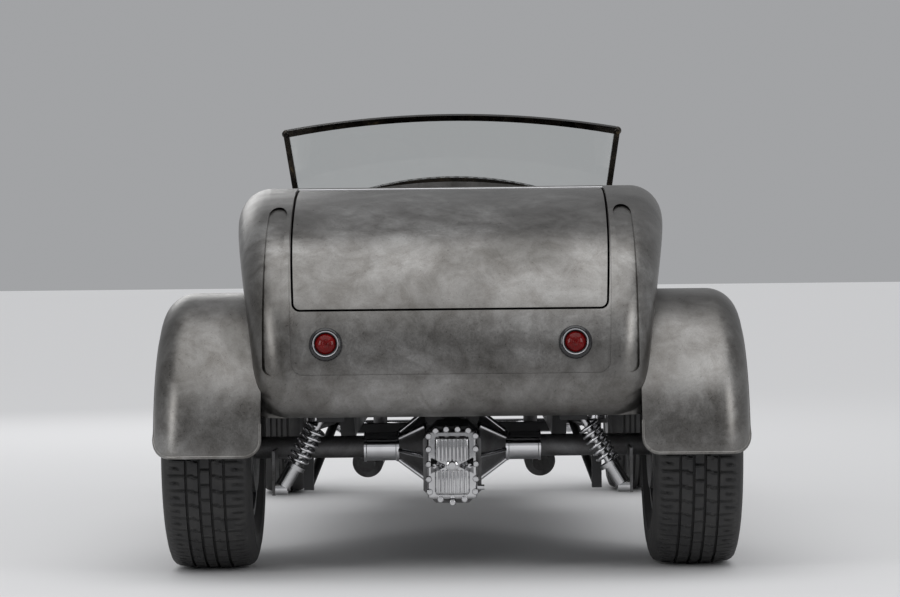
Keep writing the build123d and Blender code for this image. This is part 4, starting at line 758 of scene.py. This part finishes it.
# %% Tail lamps
LAMP_LENS_R, LAMP_DOME, LENS_RINGS = 0.0295, 0.013, 9
LENS_BACK, LENS_EDGE, RING_RISE = -0.02, 0.004, 0.0016
LAMP_LEAN, LAMP_INSET = radians(11.5), 0.012
BEZEL_R, BEZEL_BORE = 0.042, 0.032
# radius and height of the rubber outside the bezel and of the rubber between it and the lens
OUTER_RUBBER = (
    (BEZEL_R - 0.004, 0.0085), (BEZEL_R, 0.0065), (BEZEL_R + 0.004, 0.002),
    (BEZEL_R + 0.0045, -0.006),
)
INNER_RUBBER = (
    (BEZEL_BORE + 0.0008, 0.008), (BEZEL_BORE, 0.011), (BEZEL_BORE - 0.002, 0.010),
    (BEZEL_BORE - 0.003, 0.003),
)
LAMP_STEPS = 48


def lamp_place(side):
    """A frame on one lamp's axis, a little in from the bezel's rear edge, with z out of the panel."""
    ring = [v.co for v in nodes["tail_lamp_bezels"].data.vertices if v.co.y * side > 0]
    middle = [(min(p[axis] for p in ring) + max(p[axis] for p in ring)) / 2 for axis in (1, 2)]
    rear_x = min(p.x for p in ring)
    return axis_matrix((rear_x + LAMP_INSET, *middle), (-cos(LAMP_LEAN), 0, sin(LAMP_LEAN)))


def lens_profile():
    profile = [(0, LENS_BACK), (LAMP_LENS_R, LENS_BACK)]
    pitch = LAMP_LENS_R / LENS_RINGS
    for number in range(LENS_RINGS):
        radius = LAMP_LENS_R - pitch * number
        height = LENS_EDGE + LAMP_DOME * (1 - (radius / LAMP_LENS_R) ** 2)
        profile += [(radius, height), (radius - pitch / 2, height + RING_RISE)]
    return [*profile, (0, LENS_EDGE + LAMP_DOME)]


def tail_lamp(word, side):
    place = lamp_place(side)
    lens, rubber = bmesh.new(), bmesh.new()
    add_spun(lens, lens_profile(), place, LAMP_STEPS)
    name, node = f"lamp_lens_{word}", "tail_lamp_lenses"
    finish_piece(lens, name, "chassis", "red_lens", replaces=(node,), smooth_angle=60)
    for profile in (OUTER_RUBBER, INNER_RUBBER):
        add_spun(rubber, profile, place, LAMP_STEPS)
    finish_piece(rubber, f"lamp_gasket_{word}", "chassis", "gloss_black", smooth_angle=60)
    print("lamp", word, "at", tuple(round(c, 3) for c in place.translation))


for word, side in SIDES.items():
    tail_lamp(word, side)

# %% [markdown]
# ## Axle sleeves and webs
# The cast bells beside the gear case carry bright webs, and polished sleeves cover the tubes next
# to them. Thin turned sleeves and slim bars lie on the plain housing and pick out both.

# %% Axle sleeves and webs
AXLE_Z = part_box("tyre_rear_left")[1].z / 2
SLEEVE_R, SLEEVE_LIP = 0.0409, 0.003
BELL_IN, BELL_OUT, SLEEVE_END = 0.078, 0.152, 0.2555
BELL_R, SNOUT_R, WEB_R = 0.098, 0.040, 0.0082
WEBS = 7


def axle_sleeves():
    bm = bmesh.new()
    length = SLEEVE_END - BELL_OUT
    lip = SLEEVE_R + SLEEVE_LIP
    for side in SIDES.values():
        place = axis_matrix((REAR_AXLE_X, side * BELL_OUT, AXLE_Z), (0, side, 0))
        add_spun(bm, [
            (0.036, 0.002), (lip, 0.002), (lip, 0.010), (SLEEVE_R, 0.012), (SLEEVE_R, length - 0.008),
            (lip, length - 0.006), (lip, length), (0.0322, length),
        ], place, 40)
        for number in range(WEBS):
            turn = 2 * pi * number / WEBS
            out = Vector((sin(turn), 0, cos(turn)))
            root = Vector((REAR_AXLE_X, side * BELL_IN, AXLE_Z)) + out * (BELL_R + 0.002)
            tip = Vector((REAR_AXLE_X, side * BELL_OUT, AXLE_Z)) + out * (SNOUT_R + 0.002)
            add_bar(bm, root, tip, WEB_R, 12, WEB_R * 0.9)
    piece = finish_piece(bm, "axle_sleeves", "chassis", "chrome")
    print(piece.name, "webs:", 2 * WEBS)


axle_sleeves()

# %% [markdown]
# ## Rolled fender edges
# A bobbed fender's edge is rolled over a wire to stiffen it. The wire's line follows the rear lip,
# climbs round the wheel opening and ends at the front, as one bead on each side.

# %% Rolled fender edges
FENDER_R, FENDER_CORNER = 0.450, 0.090
FENDER_OUT, FENDER_IN = 0.826, 0.524
LIP_Z, LIP_CORNER, FRONT_Z = 0.348, 0.045, 0.450
SKIRT_R = 0.358
BEAD_WIRE = 0.0048
CORNER_STEPS, LIP_STEPS, ARCH_STEPS = 6, 8, 40


def lip_point(y, z):
    """The place on a rear fender's back at a height and a distance from the centre line."""
    bend = max(y - (FENDER_OUT - FENDER_CORNER), 0)
    radius = FENDER_R - FENDER_CORNER + sqrt(max(FENDER_CORNER**2 - bend**2, 0)) - 0.0025
    return Vector((REAR_AXLE_X - sqrt(radius**2 - (z - AXLE_Z) ** 2), y, z))


def fender_bead_line():
    inner, outer = FENDER_IN + 0.002, FENDER_OUT - 0.002
    line = [lip_point(inner, LIP_Z + LIP_CORNER + rise) for rise in (0.045, 0.022, 0)]
    for step in range(1, CORNER_STEPS + 1):
        turn = radians(90 * step / CORNER_STEPS)
        across, rise = LIP_CORNER * (1 - cos(turn)), LIP_CORNER * (1 - sin(turn))
        line.append(lip_point(inner + across, LIP_Z + rise))
    straight = outer - inner - 2 * LIP_CORNER
    for step in range(1, LIP_STEPS):
        line.append(lip_point(inner + LIP_CORNER + straight * step / LIP_STEPS, LIP_Z))
    for step in range(CORNER_STEPS + 1):
        turn = radians(90 * step / CORNER_STEPS)
        across, rise = LIP_CORNER * (1 - sin(turn)), LIP_CORNER * (1 - cos(turn))
        line.append(lip_point(outer - across, LIP_Z + rise))
    first = asin((LIP_Z + LIP_CORNER - AXLE_Z) / SKIRT_R)
    last = pi - asin((FRONT_Z - AXLE_Z) / SKIRT_R)
    for step in range(1, ARCH_STEPS + 1):
        turn = first + (last - first) * step / ARCH_STEPS
        back, up = SKIRT_R * cos(turn), SKIRT_R * sin(turn)
        line.append(Vector((REAR_AXLE_X - back, outer, AXLE_Z + up)))
    return line


def fender_bead(word, side):
    mirror = Vector((1, side, 1))
    bm = bmesh.new()
    add_wire(bm, [point * mirror for point in fender_bead_line()], BEAD_WIRE)
    piece = finish_piece(bm, f"fender_bead_{word}", "chassis", "bare_steel")
    print(piece.name, "faces:", len(piece.data.polygons))


for word, side in SIDES.items():
    fender_bead(word, side)

# %% [markdown]
# ## Windshield fittings
# The posts of such a frame end in ball-shaped swivels at the top corners and stand in clamps on the
# cowl. Both are small turned or bevelled fittings that sit over the plain frame.

# %% Windshield fittings
SHIELD_BASE = Vector((REAR_AXLE_X + 1.500, 0, 1.050))
SHIELD_LEAN = radians(20)
SHIELD_UP = Vector((-sin(SHIELD_LEAN), 0, cos(SHIELD_LEAN)))
SHIELD_OUT = Vector((cos(SHIELD_LEAN), 0, sin(SHIELD_LEAN)))
CORNER_HALF, CORNER_UP, BALL_R = 0.5635, 0.2895, 0.0145
POST_HALF, POST_SPREAD = 0.5255, 0.13    # at the foot, and gained with each metre up
CLAMPS_UP = (0.045, 0.085)


def shield_point(side, half, up):
    return SHIELD_BASE + SHIELD_UP * up + Vector((0, side * half, 0))


def windshield_fittings():
    bm = bmesh.new()
    for side in SIDES.values():
        corner = shield_point(side, CORNER_HALF, CORNER_UP)
        bmesh.ops.create_uvsphere(
            bm, u_segments=24, v_segments=16, radius=BALL_R, matrix=Matrix.Translation(corner)
        )
        add_hex_bolt(bm, corner - SHIELD_OUT * 0.012, -SHIELD_OUT, 0.011, 0.007)
        for up in CLAMPS_UP:
            post = shield_point(side, POST_HALF + POST_SPREAD * up, up)
            add_spun(bm, [
                (0.0143, -0.006), (0.0160, -0.004), (0.0160, 0.004), (0.0143, 0.006),
            ], axis_matrix(post, SHIELD_UP), 24)
            add_hex_bolt(bm, post - SHIELD_OUT * 0.0145, -SHIELD_OUT, 0.009, 0.006)
    piece = finish_piece(bm, "windshield_fittings", "chassis", "dark_brass")
    print(piece.name, "faces:", len(piece.data.polygons))


windshield_fittings()

# %% [markdown]
# ## Wheel nuts and caps
# Each wheel is held by five plated nuts round a domed cap. The nuts sit on the solid's studs, and
# ride with the wheel, so a turning wheel carries them round.

# %% Wheel nuts and caps
NUT_CIRCLE = 0.057
WHEEL_NUTS = 5
WHEEL_NARROWER = 0.034       # a wheel's width under its tyre's
FACE_INSET = 0.060           # from the wheel's outer edge to its spoke face
NUT_H = 0.019


def wheel_trim(end, word, side):
    low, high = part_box(f"tyre_{end}_{word}")
    centre = (low + high) / 2
    face = (high.y - low.y - WHEEL_NARROWER) / 2 - FACE_INSET
    out = Vector((0, side, 0))
    bm = bmesh.new()
    for number in range(WHEEL_NUTS):
        turn = 2 * pi * (number + 0.5) / WHEEL_NUTS
        foot = centre + out * (face + 0.030) + Vector((sin(turn), 0, cos(turn))) * NUT_CIRCLE
        top = foot + out * NUT_H
        washer = [(0.0, 0.0), (0.0135, 0.0), (0.0125, 0.004), (0.0, 0.004)]
        add_spun(bm, washer, axis_matrix(foot, out), 20)
        add_bar(bm, foot, top, 0.0122, 6)
        add_spun(bm, [(0.0108, 0.0), (0.009, 0.004), (0.0, 0.006)], axis_matrix(top, out), 20)
    cap = axis_matrix(centre + out * (face + 0.028), out)
    add_spun(bm, [
        (0.0, 0.0), (0.040, 0.0), (0.040, 0.004), (0.0355, 0.008), (0.0345, 0.018), (0.030, 0.0235),
        (0.016, 0.0262), (0.012, 0.0255), (0.0, 0.0258),
    ], cap, 40)
    piece = finish_piece(bm, f"wheel_trim_{end}_{word}", f"{end}_wheel_{word}", "chrome")
    print(piece.name, "nuts:", WHEEL_NUTS)


for end in ("rear", "front"):
    for word, side in SIDES.items():
        wheel_trim(end, word, side)

# %% [markdown]
# ## Gauges
# Each dial gets a plated ring, a ring of plain ticks and a needle, over the solid's pale disc. The
# marks are thin bars and not a picture, so they stay sharp from any distance and carry no lettering.

# %% Gauges
# across, up and radius of each dial
GAUGES = (
    (0.372, 0.952, 0.046), (0.208, 0.968, 0.046), (0.060, 0.985, 0.028), (-0.020, 0.985, 0.028),
)
TICKS, TICK_SWEEP = 11, 260      # degrees from the first tick to the last
NEEDLE_TURN = radians(-95)


def gauge_trim():
    face_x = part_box("gauges")[0].x
    rings, marks = bmesh.new(), bmesh.new()
    for y, z, radius in GAUGES:
        middle = Vector((face_x, y, z))
        add_spun(rings, [
            (radius + 0.0004, 0.007), (radius + 0.004, 0.007), (radius + 0.004, -0.002),
            (radius + 0.001, -0.004), (radius - 0.003, -0.002), (radius - 0.003, 0.0005),
        ], axis_matrix(middle, (1, 0, 0)), 48)
        for number in range(TICKS):
            turn = radians(-TICK_SWEEP / 2 + TICK_SWEEP * number / (TICKS - 1))
            way = Vector((0, -sin(turn), cos(turn)))
            add_bar(marks, middle + way * radius * 0.72, middle + way * radius * 0.88, 0.0009, 6)
        needle = Vector((0, -sin(NEEDLE_TURN), cos(NEEDLE_TURN)))
        pivot = middle + BACKWARD * 0.001
        tail, tip = pivot - needle * radius * 0.15, pivot + needle * radius * 0.7
        add_bar(marks, tail, tip, 0.0012, 6, 0.0004)
        hub = [(0.0, 0.003), (0.003, 0.0025), (0.004, 0.0)]
        add_spun(marks, hub, axis_matrix(middle, BACKWARD), 16)
    print(finish_piece(rings, "gauge_rings", "chassis", "chrome").name, "for", len(GAUGES), "dials")
    print(finish_piece(marks, "gauge_marks", "chassis", "gloss_black").name)


gauge_trim()

# %% [markdown]
# ## Bench seat
# The seat is stuffed hide. Each cushion starts as the plain solid, drawn in a little and remeshed,
# is blown up by a short cloth simulation, and then gets its sewn channels pressed in. The under side
# is kept flat, because it rests on the seat base.

# %% Bench seat
VOXEL = 0.008
SWELL_CAP, SWELL_FRAMES, SWELL_PRESSURE = 0.014, 20, 4.0
CHANNELS, CHANNEL_DEPTH, CHANNEL_WIDTH = 9, 0.013, 0.011


def shrunk_copy(node, name, share):
    mesh = nodes[node].data.copy()
    bm = bmesh.new()
    bm.from_mesh(mesh)
    bmesh.ops.remove_doubles(bm, verts=bm.verts, dist=1e-5)
    low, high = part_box(node)
    centre = (low + high) / 2
    bmesh.ops.translate(bm, vec=-centre, verts=bm.verts)
    bmesh.ops.scale(bm, vec=share, verts=bm.verts)
    bmesh.ops.translate(bm, vec=centre, verts=bm.verts)
    bm.to_mesh(mesh)
    bm.free()
    mesh.name = name
    pad = bpy.data.objects.new(name, mesh)
    scene.collection.objects.link(pad)
    return pad


def take_evaluated(pad):
    """The piece's mesh with its modifiers applied."""
    bpy.context.view_layer.update()
    graph = bpy.context.evaluated_depsgraph_get()
    return bpy.data.meshes.new_from_object(pad.evaluated_get(graph))


def swell(pad):
    """Blow the pad up for a few frames and keep each point within the cap of its start."""
    rest = [v.co.copy() for v in pad.data.vertices]
    cloth = pad.modifiers.new("stuffing", "CLOTH")
    cloth.settings.use_pressure = True
    cloth.settings.uniform_pressure_force = SWELL_PRESSURE
    cloth.settings.effector_weights.gravity = 0.0
    cloth.settings.quality = 4
    cloth.point_cache.frame_start, cloth.point_cache.frame_end = 1, SWELL_FRAMES
    for number in range(1, SWELL_FRAMES + 1):
        scene.frame_set(number)
    puffed = take_evaluated(pad)
    pad.modifiers.clear()
    for vert, start, end in zip(pad.data.vertices, rest, puffed.vertices):
        move = end.co - start
        if move.length > SWELL_CAP:
            move *= SWELL_CAP / move.length
        vert.co = start + move
    bpy.data.meshes.remove(puffed)
    scene.frame_set(1)


def bench_part(node, name, share, front):
    pad = shrunk_copy(node, name, share)
    remesh = pad.modifiers.new("even_faces", "REMESH")
    remesh.mode = "VOXEL"
    remesh.voxel_size = VOXEL
    pad.data = take_evaluated(pad)
    pad.modifiers.clear()
    swell(pad)
    low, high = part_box(node)
    pitch = (high.y - low.y) / CHANNELS
    facings = [max(vert.normal.dot(front), 0) for vert in pad.data.vertices]
    for vert, facing in zip(pad.data.vertices, facings):
        near = (vert.co.y - low.y) / pitch
        off = abs(near - round(near)) * pitch
        edge = min(vert.co.y - low.y, high.y - vert.co.y)
        if edge > pitch * 0.5:
            vert.co -= front * CHANNEL_DEPTH * facing * exp(-((off / CHANNEL_WIDTH) ** 2))
        vert.co.z = max(vert.co.z, low.z + 0.0005)
    smooth = pad.modifiers.new("soft_skin", "SUBSURF")
    smooth.levels = smooth.render_levels = 1
    pad.data.materials.clear()
    pad.data.materials.append(finishes["leather"])
    for polygon in pad.data.polygons:
        polygon.use_smooth = True
    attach(pad, "chassis")
    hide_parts(node)
    made.append(name)
    print(name, "verts:", len(pad.data.vertices))


bench_part("seat_cushion", "bench_cushion", (0.95, 0.972, 0.82), Vector((0, 0, 1)))
bench_part("seat_back", "bench_back", (0.82, 0.972, 0.93), Vector((0.99, 0, 0.14)))

# %% [markdown]
# ## Under the hood
# With the hood tops raised the engine shows, so the plain block gets finned valve covers and a round
# air cleaner, all bevelled or turned shapes seated on its top.

# %% Engine dress
VALVE_COVER = Vector((0.47, 0.136, 0.018))
COVER_FIN = Vector((0.44, 0.006, 0.014))
FINS_A_COVER, FIN_STEP = 9, 0.0135


def add_slab(bm, place, centre, size):
    """A box of a size, centred in a given frame."""
    slab = bmesh.ops.create_cube(bm, size=1)
    shape = place @ Matrix.Translation(centre) @ Matrix.Diagonal((*size, 1))
    bmesh.ops.transform(bm, matrix=shape, verts=slab["verts"])


def engine_dress():
    low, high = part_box("engine_block")
    top, middle = high.z, (low.x + high.x) / 2
    bright, dark = bmesh.new(), bmesh.new()
    for side in SIDES.values():
        slope = axis_matrix((middle, side * 0.171, top - 0.057), (0, side, 1))
        add_slab(bright, slope, (0, 0, 0.009), VALVE_COVER)
        for number in range(FINS_A_COVER):
            across = (number - (FINS_A_COVER - 1) / 2) * FIN_STEP
            add_slab(bright, slope, (0, across, 0.024), COVER_FIN)
    crown = axis_matrix((middle, 0, top), (0, 0, 1))
    add_spun(bright, [
        (0.0, 0.052), (0.008, 0.052), (0.010, 0.046), (0.118, 0.046), (0.124, 0.042),
        (0.124, 0.038), (0.112, 0.036),
    ], crown, 48)
    add_spun(dark, [(0.045, 0.0), (0.045, 0.012), (0.112, 0.012), (0.112, 0.037)], crown, 48)
    print(finish_piece(bright, "engine_covers", "chassis", "polished_aluminium").name)
    print(finish_piece(dark, "air_filter", "chassis", "gloss_black").name)


engine_dress()

# %% Pieces made
print("pieces made:", len(made))
